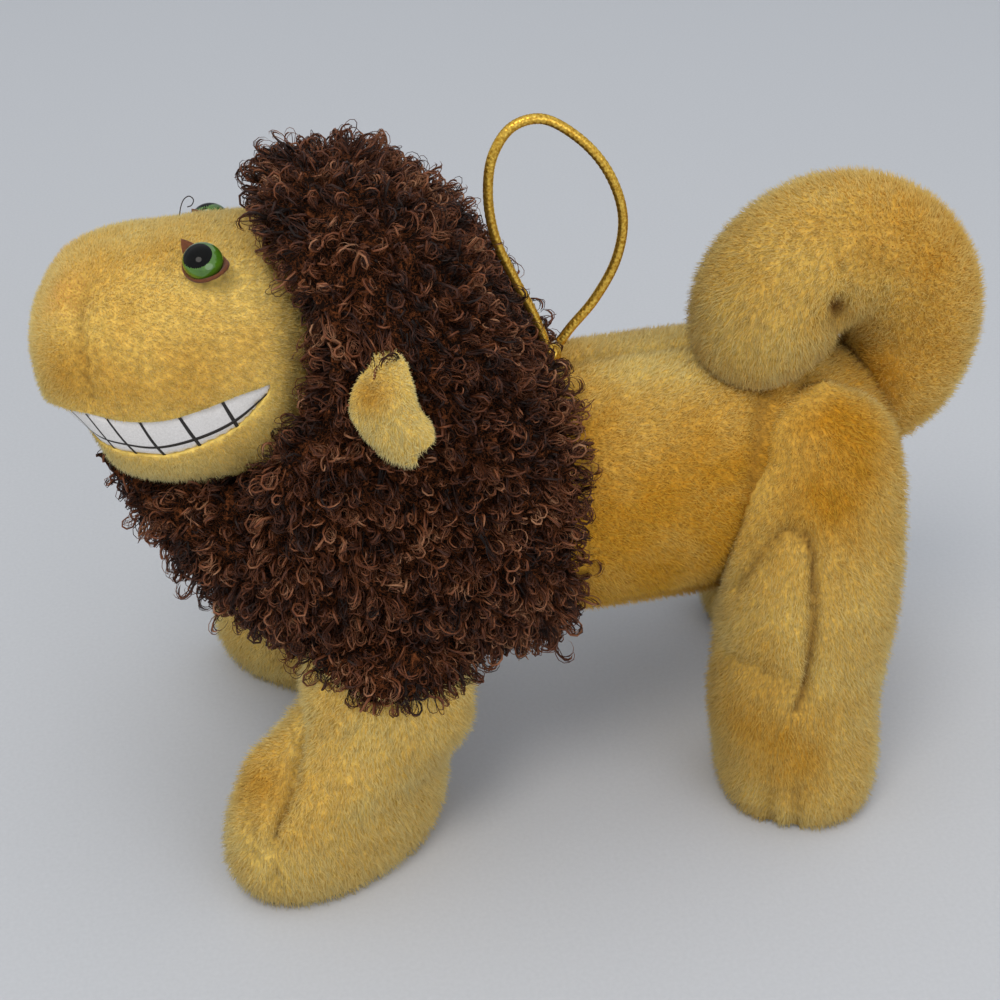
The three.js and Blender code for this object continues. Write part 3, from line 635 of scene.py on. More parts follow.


# Short plush: fine straight fibres, 2 to 3 mm long, knitted into a backing and combed along
# each piece's nap. Paler and deeper gold in patches; painted light pales the top of the back,
# and painted shade darkens the roots and the seams.
def plush_material(name, is_backing):
    """Acrylic pile: a soft pale rim, tips lighter than roots as painted shade at the roots, and patches
    of deeper gold.
    """
    material, tree, shader, place = new_material(
        name,
        Roughness=0.65,
        Sheen_Weight=0.2,
        Sheen_Roughness=0.35,
        Specular_IOR_Level=0.2,
        Sheen_Tint=linear("#ffe9b0"),
    )
    fine = add_node(tree, "ShaderNodeTexNoise", {"Vector": place, "Scale": 620, "Detail": 3})
    patch = add_node(tree, "ShaderNodeTexNoise", {"Vector": place, "Scale": 75, "Detail": 4})
    layers = {
        layer: add_node(tree, "ShaderNodeAttribute", attribute_name=layer).outputs["Fac"]
        for layer in ("gold", "blush", "press", "tip", "shade")
    }
    wobble = add_node(tree, "ShaderNodeMath", [patch, 0.9, -0.45], operation="MULTIPLY_ADD")
    depth = add_node(
        tree, "ShaderNodeMath", [layers["gold"], wobble], operation="ADD", use_clamp=True
    )
    # Root and tip colours: the darker root is painted shade deep in the pile, and press darkens both
    # along seams
    changes = {
        "root": ("#ecca68", [(depth, "#c68d1c"), (layers["press"], "#6b4312")]),
        "end": (
            "#f9eaaa",
            [(depth, "#e8b43a"), (layers["blush"], "#f3a662"), (layers["press"], "#a87422")],
        ),
    }
    colours = {}
    for part, (base_colour, steps) in changes.items():
        colours[part] = linear(base_colour)
        for share, towards in steps:
            blend = {"Factor": share, "A": colours[part], "B": linear(towards)}
            colours[part] = add_node(tree, "ShaderNodeMix", blend, data_type="RGBA")
    if is_backing:
        colour = colours["root"]
        light = add_node(tree, "ShaderNodeMath", [fine, 1.1, 0.35], operation="MULTIPLY_ADD")
        knit = {"Height": fine, "Strength": 0.7, "Distance": 0.0006}
        feed(shader, {"Normal": add_node(tree, "ShaderNodeBump", knit)})
    else:
        blend = {"Factor": layers["tip"], "A": colours["root"], "B": colours["end"]}
        colour = add_node(tree, "ShaderNodeMix", blend, data_type="RGBA")
        light = add_node(
            tree, "ShaderNodeMath", [layers["shade"], 0.24, 0.6], operation="MULTIPLY_ADD"
        )
        light = add_node(tree, "ShaderNodeMath", [fine, 0.34, light], operation="MULTIPLY_ADD")
    lit = add_node(tree, "ShaderNodeVectorMath", {0: colour, "Scale": light}, operation="SCALE")
    feed(shader, {"Base Color": lit})
    return material


plush = plush_material("golden_acrylic_plush_pile", False)
plush_backing = plush_material("golden_knitted_plush_backing", True)
plush_fibres = strand_set("plush_fibre", [[([(0, 0, 0), (0, 0, 1)], 1.0, 3)]])
plush_values = {
    "Length": 2.5 * MM,
    "Width": 0.12 * MM,
    "Lean": 0.65,
    "Tangle": 0.45,
    "Clumping": 1.8,
    "Fineness": 420.0,
    "Droop": 0.05,
    "Spread": 0.35,
}
cloth_depth = 1.5

# Trunk: two side panels and a belly gusset of plush round loose fibre, sewn along the spine
# and low on each side. The haunch is a panel of its own, and the front goes into the mane.
trunk_form = {
    "kind": "lying",
    "start_x": -4.087,
    "length": 101.0,
    "width": 68.0,
    "height": 69.0,
    "low_z": 46.0,
    "roundness": (2.1, 2.1),
    "shares": [
        (0, 0.48, 0.99, 0.99), (0.2, 0.485, 1, 1), (0.4, 0.5, 1, 1), (0.6, 0.515, 1, 0.99),
        (0.76, 0.52, 0.97, 0.95), (0.88, 0.51, 0.83, 0.82), (0.95, 0.5, 0.6, 0.61),
        (0.985, 0.49, 0.34, 0.35), (1, 0.485, 0, 0),
    ],
}
trunk_end_x = trunk_form["start_x"] + trunk_form["length"]
mane_form = {
    "kind": "lying",
    "start_x": trunk_form["start_x"] + 13 - 115,
    "length": 115.0,
    "width": 100.0,
    "height": 130.0,
    "low_z": 41.0,
    "roundness": (2.8, 2.5),
    "flat_end": True,
    "shares": [
        (0, 0.442, 0, 0), (0.02, 0.441, 0.16, 0.051), (0.06, 0.433, 0.32, 0.103),
        (0.14, 0.4, 0.54, 0.2), (0.2, 0.369, 0.65, 0.292), (0.27, 0.337, 0.77, 0.388),
        (0.33, 0.322, 0.84, 0.455), (0.37, 0.483, 0.9, 0.85), (0.41, 0.508, 0.94, 0.928),
        (0.5, 0.515, 0.99, 0.968), (0.6, 0.504, 1, 0.969), (0.7, 0.473, 1, 0.931),
        (0.8, 0.425, 0.97, 0.85), (0.89, 0.348, 0.92, 0.681), (0.95, 0.319, 0.86, 0.592),
        (1, 0.319, 0.77, 0.546),
    ],
}
mirror = np.array([1, -1, 1])


def outside_by(form, points):
    """About how far points lie outside a form, in millimetres, and below 0 inside it."""
    rows = [section(form, s) for s in np.linspace(0, 1, 201)]
    if form["kind"] == "lying":
        size = form["length"]
        share = (points[:, 0] - form["start_x"]) / size
    else:
        size = form["top_z"]
        share = 1 - points[:, 2] / size
    beyond = np.maximum(-share, share - 1) * size
    near = np.clip(np.rint(share * 200).astype(int), 0, 200)
    middle, across, up, half_across, half_up = (np.array(column)[near] for column in zip(*rows))
    half_across, half_up = np.maximum(half_across, 0.2), np.maximum(half_up, 0.2)
    offset = points - middle
    a = (offset * across).sum(1) / half_across
    b = (offset * up).sum(1) / half_up
    power = np.where(b < 0, *form["roundness"])
    reach = (np.abs(a) ** power + np.abs(b) ** power) ** (1 / power)
    level = (reach - 1) * np.minimum(half_across, half_up)
    return np.where(beyond > 0, np.maximum(beyond, level), level)


def seam_on(form, places, depth=cloth_depth):
    """A line on a form's cloth, through places along it and, in degrees, round it."""
    route = along_curve([(share, turn, 0) for share, turn in places], 60)
    return np.array([surface_point(form, s, math.radians(t), -depth) for s, t, _ in route])


def from_line(points, line):
    """The way from the nearest place on a line to each point."""
    nearest = np.full(len(points), np.inf)
    ways = np.zeros_like(points)
    for a, b in zip(line[:-1], line[1:]):
        along = np.clip((points - a) @ (b - a) / max((b - a) @ (b - a), 1e-9), 0, 1)
        way = points - (a + along[:, None] * (b - a))
        gap = np.linalg.norm(way, axis=1)
        ways[gap < nearest] = way[gap < nearest]
        nearest = np.minimum(nearest, gap)
    return ways


def spots(points, places):
    """A sum of round soft patches, each given as its middle, its radius and its strength."""
    total = np.zeros(len(points))
    for middle, radius, strength in places:
        gap = np.linalg.norm(points - np.array(middle, float), axis=1)
        total += strength * np.exp(-((gap / radius) ** 2))
    return total


def normals_of(points, faces):
    """The direction out of a closed surface at each of its points."""
    total = np.zeros_like(points)
    for face in faces:
        a, b, c = points[face[0]], points[face[1]], points[face[-1]]
        across = np.cross(b - a, c - a)
        for corner in face:
            total[corner] += across
    return total / np.maximum(np.linalg.norm(total, axis=1), 1e-9)[:, None]


def sew(points, faces, nap, seams, dents):
    """Draws cloth in at seams and dents. At a seam the pile parts and is short, and painted shade darkens
    it.
    """
    out = normals_of(points, faces)
    short = np.ones(len(points))
    press = np.zeros(len(points))
    for line, depth, width, dark in seams:
        way = from_line(points, line)
        gap = np.linalg.norm(way, axis=1)
        nap = nap + way / np.maximum(gap, 0.3)[:, None] * (0.9 * np.exp(-gap / (2 * width)))[:, None]
        short = short * (1 - min(0.2 * depth, 0.6) * np.exp(-((gap / width) ** 2)))
        # Painted shade along the seam, as strong as the seam's last number
        press = np.maximum(press, dark * np.exp(-((gap / (0.9 * width)) ** 2)))
    for line, depth, width, _ in seams:
        gap = np.linalg.norm(from_line(points, line), axis=1)
        ripple = 0.85 + 0.15 * np.sin(1.1 * points[:, 0] + 1.4 * points[:, 2])
        points = points - out * (depth * ripple * np.exp(-gap / width))[:, None]
    return points - out * spots(points, dents)[:, None], nap, short, press


def on_side(side, faces, *arrays):
    """Faces, points and ways made for the left side, mirrored where they are for the right."""
    if side == "left":
        return faces, *arrays
    return [tuple(reversed(face)) for face in faces], *(array * mirror for array in arrays)


def both_sides(seams):
    """Seams on the left side and the same ones on the right."""
    return [(way, *rest) for line, *rest in seams for way in (line, line * mirror)]


def plush_pieces(name, points, faces, nap, bares, tall, looks, density, seed, **changed):
    """A cloth and its pile, or one pile for each named part that isn't bare."""
    cloth = add_mesh(name + "_cloth", points, faces, plush_backing)
    store_layers(cloth.data, looks)
    values = {**plush_values, "Density": density / MM**2, **changed}
    pieces = [cloth]
    for number, (part, bare) in enumerate(bares.items()):
        layers = {"bare": bare, "tall": tall, **looks, "nap": nap}
        values["Seed"] = seed + 100 * number
        part_name = name + part + "_pile"
        pieces.append(grow_pile(part_name, points, faces, layers, plush_fibres, plush, **values))
    return pieces


hidden_depth = 2.2
shortest_pile, shortened_over = 0.45, 6
sole_height, sole_bare_below = 0.4, 0.5


def stuffed_piece(
    name, form, replaced, density, seed, sides, rings, seams, gold, patches, length=2.5,
    dents=(), hidden_by=(), covered=None, side="left", body="torso", halved=False,
):
    """The cloth of a stuffed form and its pile, both on one body."""
    points, faces, nap = form_surface(form, -cloth_depth, sides, rings)
    points, nap, short, press = sew(points, faces, nap, seams, dents)
    # Gold patches, and the painted shade along the seams
    looks = {"gold": gold + spots(points, patches), "press": press}
    bare = np.full(len(points), -10.0)
    for other in hidden_by:
        beyond = outside_by(other, points)
        bare = np.maximum(bare, -beyond - hidden_depth)
        short = short * np.clip(shortest_pile + beyond / shortened_over, shortest_pile, 1)
    if covered:
        bare = np.maximum(bare, covered(points) - 1)
    if form["kind"] == "standing":
        bare = np.maximum(bare, sole_bare_below - points[:, 2])
        points[:, 2] = np.maximum(points[:, 2], sole_height)
    bares = {"": bare}
    if halved:
        bares = {"_left": np.maximum(bare, points[:, 1]), "_right": np.maximum(bare, -points[:, 1])}
    faces, points, nap = on_side(side, faces, points, nap)
    pieces = plush_pieces(
        name, points, faces, nap, bares, short, looks, density, seed, Length=length * MM
    )
    fit("golden_plush", body, *pieces)
    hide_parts(*replaced)


haunch_places = [(0.6, 96), (0.589, 120), (0.574, 130), (0.545, 150), (0.53, 172), (0.51, 216)]
trunk_side_seams = [
    (seam_on(trunk_form, haunch_places), 2.8, 2.8, 0.4),
    (seam_on(trunk_form, [(0.1, 223), (0.4, 223), (0.7, 223), (0.95, 222)]), 1.6, 2.0, 0.4),
    (seam_on(trunk_form, [(0.688, 118), (0.698, 140), (0.762, 150), (0.832, 158)]), 2.0, 2.4, 0.4),
]
spine_seam = seam_on(trunk_form, [(0.1, 90), (0.4, 90), (0.7, 90), (0.97, 90)])
stuffed_piece(
    "trunk",
    trunk_form,
    ["trunk_left_panel", "trunk_right_panel", "belly_panel", "trunk_stuffing"],
    density=3.8,
    seed=11,
    sides=140,
    rings=100,
    seams=[(spine_seam, 1.5, 2.2, 0.3), *both_sides(trunk_side_seams)],
    gold=0.95,
    # The first two patches are painted light: the top of the back is paler, as where light falls on it
    # from above
    patches=[((35, 0, 122), 24, -1.3), ((68, 0, 118), 16, -0.7), ((66, -34, 84), 16, 0.3)],
    length=2.0,
    hidden_by=[mane_form],
    halved=True,
)

# Rear legs: a plush skin with its seam down the outside, a flat sole, and toes drawn in by
# stitches, stuffed firm so that the toy stands. The right one stands further back.
rear_leg_form = {
    "kind": "standing",
    "x": trunk_end_x - 31,
    "spread": 36.0,
    "length": 50.0,
    "thickness": 38.0,
    "top_z": 111.0,
    "turn": 0.0,
    "set_back": 0.0,
    "roundness": (2.15, 2.15),
    "flat_end": True,
    "shares": [
        (0, 0.08, -0.45, 0, 0, 0), (0.05, 0.08, -0.42, 0.26, 0.26, 0), (0.15, 0.08, -0.33, 0.39, 0.4, 0),
        (0.3, 0.04, -0.19, 0.45, 0.47, 0), (0.45, 0.01, -0.07, 0.46, 0.5, 0),
        (0.59, -0.02, -0.01, 0.455, 0.5, 0), (0.72, -0.05, 0.04, 0.445, 0.5, 0),
        (0.86, -0.02, 0.07, 0.43, 0.535, 0), (0.945, -0.01, 0.08, 0.41, 0.54, 0),
        (1, 0, 0.07, 0.37, 0.49, 0),
    ],
}
rear_side_places = [
    (0.262, 113), (0.292, 107), (0.35, 104), (0.42, 103), (0.5, 102), (0.6, 101), (0.66, 104),
]
thigh_places = [(0.41, 167), (0.345, 152), (0.294, 140), (0.25, 125), (0.262, 113)]
rear_seams = [
    (rear_side_places, 2.8, 1.5, 0.75),
    (thigh_places, 2.4, 2.0, 0.4),
    ([(0.584, 170), (0.574, 152), (0.589, 118), (0.619, 104)], 2.2, 3.4, 0.2),
    ([(0.875, 106), (0.93, 106), (1, 107)], 2.0, 2.2, 0.35),
    ([(0.885, 126), (0.94, 127), (1, 128)], 2.0, 2.2, 0.35),
]
rear_patches = [
    ((50, -52, 30), 15, 0.5),
    ((62, -58, 24), 9, 0.2),
    ((66, -38, 95), 19, 0.7),
    ((75, -28, 107), 10, 0.4),
]
for side, seed, set_back in (("left", 21, 0.0), ("right", 22, 19.0)):
    shifted = (set_back, 0, 0)
    stuffed_piece(
        side + "_rear_leg",
        {**rear_leg_form, "set_back": set_back},
        [side + "_rear_leg_skin", side + "_rear_leg_stuffing", side + "_rear_sole"],
        density=3.35,
        seed=seed,
        sides=96,
        rings=110,
        seams=[(seam_on(rear_leg_form, places) + shifted, *rest) for places, *rest in rear_seams],
        gold=0.3,
        patches=[(np.array(middle) + shifted, *rest) for middle, *rest in rear_patches],
        hidden_by=[trunk_form],
        side=side,
    )

# Front legs: a plush skin like the rear ones, with the foot turned outwards and a deep crease
# where it meets the leg. They go up under the mane, and the right foot stands further back.
front_leg_form = {
    "kind": "standing",
    "x": trunk_form["start_x"] - 42,
    "spread": 38.0,
    "length": 50.0,
    "thickness": 34.0,
    "top_z": 66.0,
    "turn": 32.0,
    "set_back": 0.0,
    "roundness": (2.15, 2.15),
    "flat_end": True,
    "shares": [
        (0, 0.1, -0.2, 0, 0, 0), (0.06, 0.1, -0.2, 0.27, 0.3, 0), (0.21, 0.1, -0.11, 0.42, 0.44, 0),
        (0.39, 0.06, -0.03, 0.465, 0.47, 0), (0.515, -0.03, 0, 0.55, 0.5, 0.6),
        (0.636, -0.14, 0.01, 0.61, 0.53, 0.9), (0.76, -0.17, 0.02, 0.64, 0.55, 1),
        (0.894, -0.18, 0.03, 0.615, 0.54, 1), (1, -0.175, 0.03, 0.53, 0.47, 1),
    ],
}
ankle_places = [(0.32, 184), (0.371, 166), (0.446, 157), (0.545, 155), (0.61, 154), (0.69, 152)]


def above_hem(points):
    """How far points lie above the mane's hem, which hangs over the top of the front legs."""
    return points[:, 2] - np.interp(points[:, 0], [-70, -58, -46, -25], [65, 58, 52.5, 52])


for side, seed, set_back in (("left", 31, 0.0), ("right", 32, 2.5)):
    stuffed_piece(
        side + "_front_leg",
        {**front_leg_form, "set_back": set_back},
        [side + "_front_leg_skin", side + "_front_leg_stuffing", side + "_front_sole"],
        density=3.6,
        seed=seed,
        sides=96,
        rings=96,
        seams=[
            (seam_on(front_leg_form, ankle_places), 6.5, 2.3, 0.25),
            (seam_on(front_leg_form, [(0.62, 177), (0.66, 171), (0.73, 166)]), 2.2, 2.4, 0.3),
            (seam_on(front_leg_form, [(0.7, 151), (0.76, 150), (0.84, 150)]), 2.2, 2.4, 0.3),
        ],
        gold=0.22,
        patches=[((-72.5, -48.6, 32.3), 8, 0.5), ((-76, -43, 31), 8, 0.25)],
        dents=[((-75, -41, 34), 6.5, -3.4), ((-64.5, -33, 46), 4.5, 2.0)],
        hidden_by=[mane_form, trunk_form],
        covered=above_hem,
        side=side,
    )

# Tail: a fat curl of plush, stuffed tight, sewn on at the rump only, so that it can lift.
# The hole of the curl is drawn in and darkened with painted shade.
tail_form = {
    "kind": "curled",
    "middle": (trunk_end_x - 20.5, 0.0, 117.0),
    "curl": 22.0,
    "radius": 18.5,
    "tip_shift": 9.0,
    "from_turn": -75.0,
    "to_turn": 209.0,
    "roundness": (2.0, 2.0),
    "shares": [
        (0, 1.4, 0, 0), (0.03, 1.35, 0.5, 0), (0.1, 1.15, 0.84, 0), (0.25, 1, 0.978, 0.05),
        (0.5, 0.97, 1.01, 0.3), (0.7, 0.95, 1.03, 0.65), (0.85, 0.93, 0.97, 0.9),
        (0.93, 0.92, 0.77, 0.97), (0.98, 0.9, 0.42, 1), (1, 0.9, 0, 1),
    ],
}
tail_hole = seam_on(tail_form, [(0.657, 254), (0.654, 248), (0.652, 242)])
stuffed_piece(
    "tail",
    tail_form,
    ["tail_skin", "tail_stuffing"],
    density=3.5,
    seed=41,
    sides=84,
    rings=130,
    # The hole's seam carries full painted shade
    seams=[(tail_hole, 3.4, 2.6, 1.0)],
    gold=0.4,
    patches=[((96, -8, 140), 18, 0.35), ((90, -10, 110), 16, 0.4), ((50, -14, 125), 14, -0.25)],
    hidden_by=[trunk_form],
    body="tail",
)

# Head: one egg of short pale plush over fibre, whose front panel is the muzzle. The grin is
# cut right through it, and the printed teeth lie behind the lips.
head_form = {
    "kind": "lying",
    "start_x": mane_form["start_x"] - 10,
    "length": 70.0,
    "width": 64.0,
    "height": 61.0,
    "low_z": 126.2 - 61 / 2,
    "roundness": (2.6, 2.05),
    "shares": [
        (0, 0.535, 0, 0), (0.028, 0.53, 0.36, 0.3), (0.07, 0.535, 0.55, 0.46), (0.14, 0.535, 0.73, 0.65),
        (0.2, 0.51, 0.82, 0.8), (0.28, 0.5, 0.89, 0.9), (0.45, 0.5, 0.98, 0.98), (0.64, 0.5, 1, 1),
        (0.82, 0.495, 0.95, 0.94), (0.94, 0.49, 0.6, 0.6), (1, 0.485, 0, 0),
    ],
}
lip_shares = [
    (-0.08, 0.34), (0, 0.36), (0.045, 0.395), (0.09, 0.425), (0.18, 0.445), (0.3, 0.43),
    (0.42, 0.437), (0.53, 0.472), (0.65, 0.518), (0.757, 0.556),
]
jaw_shares = [
    (-0.08, 0.3), (0, 0.3), (0.09, 0.3), (0.18, 0.298), (0.3, 0.277), (0.42, 0.276),
    (0.53, 0.32), (0.65, 0.393), (0.757, 0.53),
]
# The rear edge of the mane's face opening, from under the chin to over the brow
face_edge_shares = [
    (0.475, 0.118), (0.571, 0.171), (0.668, 0.256), (0.734, 0.334), (0.788, 0.408), (0.83, 0.47),
    (0.849, 0.544), (0.865, 0.675), (0.873, 0.794), (0.869, 0.845), (0.853, 0.895), (0.834, 0.937),
    (0.788, 0.986),
]
eye_places = {"left": (0.59, 32), "right": (0.632, 52)}
right_eye_drop = 1.2
eye_clearing = 4.2


def on_head(places):
    """Places seen from the side, from shares of the head's length and height to x and z."""
    start = (head_form["start_x"], head_form["low_z"])
    return [(start[0] + a * head_form["length"], start[1] + b * head_form["height"]) for a, b in places]


lip_line, jaw_line = [
    along_curve([(x, z, 0) for x, z in on_head(shares)], 60)[:, :2] for shares in (lip_shares, jaw_shares)
]
face_edge = np.array(on_head(face_edge_shares))
head_middle_z = head_form["low_z"] + head_form["height"] / 2


def mouth_edges(x):
    """The heights of the lip's edge and the jaw's edge at places along the head."""
    return [np.interp(x, line[:, 0], line[:, 1]) for line in (lip_line, jaw_line)]


def inside_mouth(points):
    """How deep points lie in the grin, seen from the side, and below 0 outside it."""
    lip, jaw = mouth_edges(points[:, 0])
    depth = np.minimum(lip - points[:, 2], points[:, 2] - jaw)
    return np.minimum(depth, lip_line[-1, 0] - points[:, 0])


def behind_face_edge(points):
    """How far points lie behind the edge of the face opening, along the head."""
    return points[:, 0] - np.interp(points[:, 2], face_edge[:, 1], face_edge[:, 0])


def eye_frame(side):
    """Where an eye sits on the left skin of the head, and its directions: ahead, down and out."""
    along_share, turn = eye_places[side]
    turn = math.radians(turn)
    middle, _, _, half_wide, half_high = section(head_form, along_share)
    out = np.array([0, -math.sin(turn) / half_wide, math.cos(turn) / half_high])
    out /= np.linalg.norm(out)
    power = 2 / head_form["roundness"][1]
    aside, up = half_wide * math.sin(turn) ** power, half_high * math.cos(turn) ** power
    skin = np.array([middle[0], -aside, middle[2] + up])
    if side == "right":
        skin = skin - (0, 0, right_eye_drop)
    ahead = np.array([-1.0, 0, 0])
    return skin, ahead, np.cross(out, ahead), out


def set_face(points):
    """Moves points of the plain head form to the sewn face: a flat top, a jaw set back."""
    points = np.array(points, float)
    share = (points[:, 0] - head_form["start_x"]) / head_form["length"]
    up_share = np.clip((points[:, 2] - head_middle_z) / (head_form["height"] / 2), 0, 1)
    rise = np.interp(share, [0, 0.08, 0.16, 0.3, 0.45, 0.8, 1], [0, 1.4, 1.6, 0.1, -1.6, -1.6, 0])
    lip, jaw = mouth_edges(points[:, 0])
    under_lip = np.clip((lip - points[:, 2]) / (lip - jaw + 0.5), 0, 1.3)
    points[:, 2] += rise * up_share**2
    points[:, 0] += 5.2 * under_lip * np.exp(-((np.clip(share, 0, 1) / 0.2) ** 2))
    points[:, 0] += 1.0 * np.exp(-((np.clip(share, 0, 1) / 0.12) ** 2))
    return points


head_depth = 0.9
head_points, head_faces, head_nap = form_surface(head_form, -head_depth, 120, 110)
mouth_gap = inside_mouth(head_points)
eye_gaps = []
for side in ("left", "right"):
    _, skin = on_side(side, [], eye_frame(side)[0])
    eye_gaps.append(np.linalg.norm(head_points - skin, axis=1))
crown_seam = seam_on(head_form, [(0.06, 90), (0.3, 90), (0.6, 90), (0.85, 90)], head_depth)
muzzle_places = [(0.222, 121), (0.198, 128), (0.188, 144), (0.188, 166), (0.203, 180)]
muzzle_seam = seam_on(head_form, muzzle_places, head_depth)
panel_places = [(0.222, 121), (0.31, 120), (0.39, 120), (0.475, 118), (0.53, 113)]
panel_seam = seam_on(head_form, panel_places, head_depth)
head_seams = [(crown_seam, 0.5, 1.6, 0.0)]
head_seams += both_sides([(set_face(muzzle_seam), 1.8, 2.4, 0.22), (set_face(panel_seam), 1.1, 2.4, 0.0)])
nose_dents = [((-104, y, 145.5), 3.4, 1.5) for y in (-16, 16)]
head_points, head_nap, head_short, head_painted_shade = sew(
    set_face(head_points), head_faces, head_nap, head_seams, nose_dents
)
lip_margin, under_mane = 0.15, 5
head_bare = np.maximum(mouth_gap + lip_margin, behind_face_edge(head_points) - under_mane)
head_short *= np.clip(0.6 - mouth_gap / 5, 0.6, 1)
for eye_gap in eye_gaps:
    head_bare = np.maximum(head_bare, eye_clearing - eye_gap)
    head_short *= 1 - 0.35 * np.exp(-(((eye_gap - 4) / 3) ** 2))
head_patches = [
    ((-88, -31, 127), 13, 0.3),
    ((-104, -20, 131), 7, 0.35),
    ((-94, -9, 152), 9, 0.2),
    ((-84, -10, 154), 7, 0.2),
    ((-72, -20, 150), 12, -0.2),
    ((-90, -22, 108), 14, -0.35),
]
# The head's looks: gold patches, the nose's blush, and painted shade along the muzzle seam
head_looks = {
    "gold": 0.24 + spots(head_points, head_patches),
    "blush": spots(head_points, [((-104.6, y, 146), 5.5, 0.95) for y in (-13, 13)]),
    "press": head_painted_shade,
}
head_cloth, head_pile = plush_pieces(
    "head",
    head_points,
    head_faces,
    head_nap,
    {"": head_bare},
    head_short,
    head_looks,
    density=6.6,
    seed=51,
    Length=1.3 * MM,
    Width=0.095 * MM,
    Lean=0.5,
    Fineness=900.0,
    Clumping=1.1,
)

# The grin is cut out of the cloth, as wide as the head
grin = np.array([*lip_line, *jaw_line[::-1]])
grin = set_face(np.column_stack([grin[:, 0], np.zeros(len(grin)), grin[:, 1]]))
count = len(grin)
cut_points = np.vstack([grin - (0, head_form["width"], 0), grin + (0, head_form["width"], 0)])
cut_faces = [tuple(range(count)), tuple(reversed(range(count, 2 * count)))]
cut_faces += [((i + 1) % count, i, i + count, (i + 1) % count + count) for i in range(count)]
mouth_cut = add_mesh("mouth_cut", cut_points, cut_faces)
cut = bmesh.new()
cut.from_mesh(mouth_cut.data)
bmesh.ops.recalc_face_normals(cut, faces=cut.faces)
cut.to_mesh(mouth_cut.data)
cut.free()
boolean = head_cloth.modifiers.new("mouth", "BOOLEAN")
boolean.operation = "DIFFERENCE"
boolean.solver = "EXACT"
boolean.object = mouth_cut
opened = plain_mesh(head_cloth)
head_cloth.modifiers.clear()
head_cloth.data = opened
bpy.data.objects.remove(mouth_cut)
fit("pale_plush", "torso", head_cloth, head_pile)
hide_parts("face_skin", "muzzle_front_panel", "lower_jaw_skin", "head_stuffing")


# Teeth: a band of white satin sewn in behind the lips, on which black lines are printed. It
# follows the head's roundness, and its edges turn in under the plush.
def drop_unused(points, faces):
    """The points that faces use, and the faces with those points' new numbers."""
    used = sorted({corner for face in faces for corner in face})
    renumber = {old: new for new, old in enumerate(used)}
    return points[used], [tuple(renumber[corner] for corner in face) for face in faces]


def thicken(sheet, thickness, offset):
    """Gives a sheet its thickness in millimetres, inwards at -1 and to both sides at 0."""
    solid = sheet.modifiers.new("thickness", "SOLIDIFY")
    solid.thickness = thickness * MM
    solid.offset = offset


# Woven polyester satin: white with a soft gleam. Its threads, finer in truth, are drawn at
# 0.4 mm so that they show.
satin = grained_material(
    "white_polyester_satin_woven",
    "#bcb8b4",
    "#e8e5e2",
    {"Scale": 2600, "Detail": 2, "Roughness": 0.6},
    bump={"Strength": 0.35, "Distance": 0.0001},
    Roughness=0.42,
    Sheen_Weight=0.2,
)
teeth_inset = 1.35
satin_thickness = 0.5
teeth_points, teeth_faces, _ = form_surface(head_form, -teeth_inset, 160, 110)
deep = inside_mouth(teeth_points)
tucked = np.clip(0.2 - deep, 0, 1.4) * 1.6
teeth_points = set_face(teeth_points)
teeth_points = teeth_points - normals_of(teeth_points, teeth_faces) * tucked[:, None]
teeth_faces = [face for face in teeth_faces if max(deep[list(face)]) > -1.6]
teeth = add_mesh("teeth_satin", *drop_unused(teeth_points, teeth_faces), satin)
thicken(teeth, satin_thickness, -1)
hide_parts("teeth_band")
fit("printed_satin", "torso", teeth)

# Mane: curly pile on a lumpy stuffed hood, sewn on round the neck and open in front where the
# face looks out. Each lock is a tuft of fine crimped fibres wound into a ball 3 to 5 mm across.
mane_depth = 5.0
mane_end_x = mane_form["start_x"] + mane_form["length"]
face_low_z = face_edge[0, 1]
mane_points, mane_faces, _ = form_surface(mane_form, -mane_depth, 120, 120)
lumps = np.sin(0.37 * mane_points[:, 0] + 0.29 * mane_points[:, 2]) * np.sin(0.41 * mane_points[:, 1])
lumps = lumps + 0.6 * np.sin(0.8 * mane_points[:, 2] - 0.5 * mane_points[:, 0])
mane_points = mane_points + normals_of(mane_points, mane_faces) * (1.3 * lumps)[:, None]
off_face = np.interp(
    mane_points[:, 2], [face_low_z, 108, 118, 138, 149, 156, 163], [0, 3.8, 5.0, 5.2, 4.4, 2.6, 1.2]
)
too_far_forward = np.clip(off_face - behind_face_edge(mane_points), 0, None)
mane_points[:, 0] += too_far_forward * (mane_points[:, 2] > face_low_z)
from_tip = (mane_points[:, 0] - mane_form["start_x"]) / 9
mane_points[:, 0] += 1.5 * np.exp(-(np.clip(from_tip, 0, None) ** 2))
mane_points[:, 0] -= 4 * np.clip(1 - (mane_end_x - mane_points[:, 0]) / 6, 0, 1)

# Curly acrylic: glossy fibres, nearly black inside the curls and russet where light catches
# their outsides, each streaked along its length and a little unlike its neighbour.
curl_brown, curl_tree, curl_shader, curl_place = new_material(
    "brown_curly_acrylic_pile", Roughness=0.5, Specular_IOR_Level=0.3
)
fibre, shade, tip = [
    add_node(curl_tree, "ShaderNodeAttribute", attribute_name=layer).outputs["Fac"]
    for layer in ("fibre", "shade", "tip")
]
curl_own = add_node(curl_tree, "ShaderNodeMath", [fibre, 5.3, shade], operation="MULTIPLY_ADD")
curl_own = add_node(curl_tree, "ShaderNodeMath", [curl_own], operation="FRACT")
curl_noise = add_node(curl_tree, "ShaderNodeTexNoise", {"Vector": curl_place, "Scale": 260, "Detail": 4})
curl_patch = add_node(curl_tree, "ShaderNodeTexNoise", {"Vector": curl_place, "Scale": 90, "Detail": 2})
curl_map = add_node(curl_tree, "ShaderNodeAttribute", attribute_name="strand_map").outputs["Vector"]
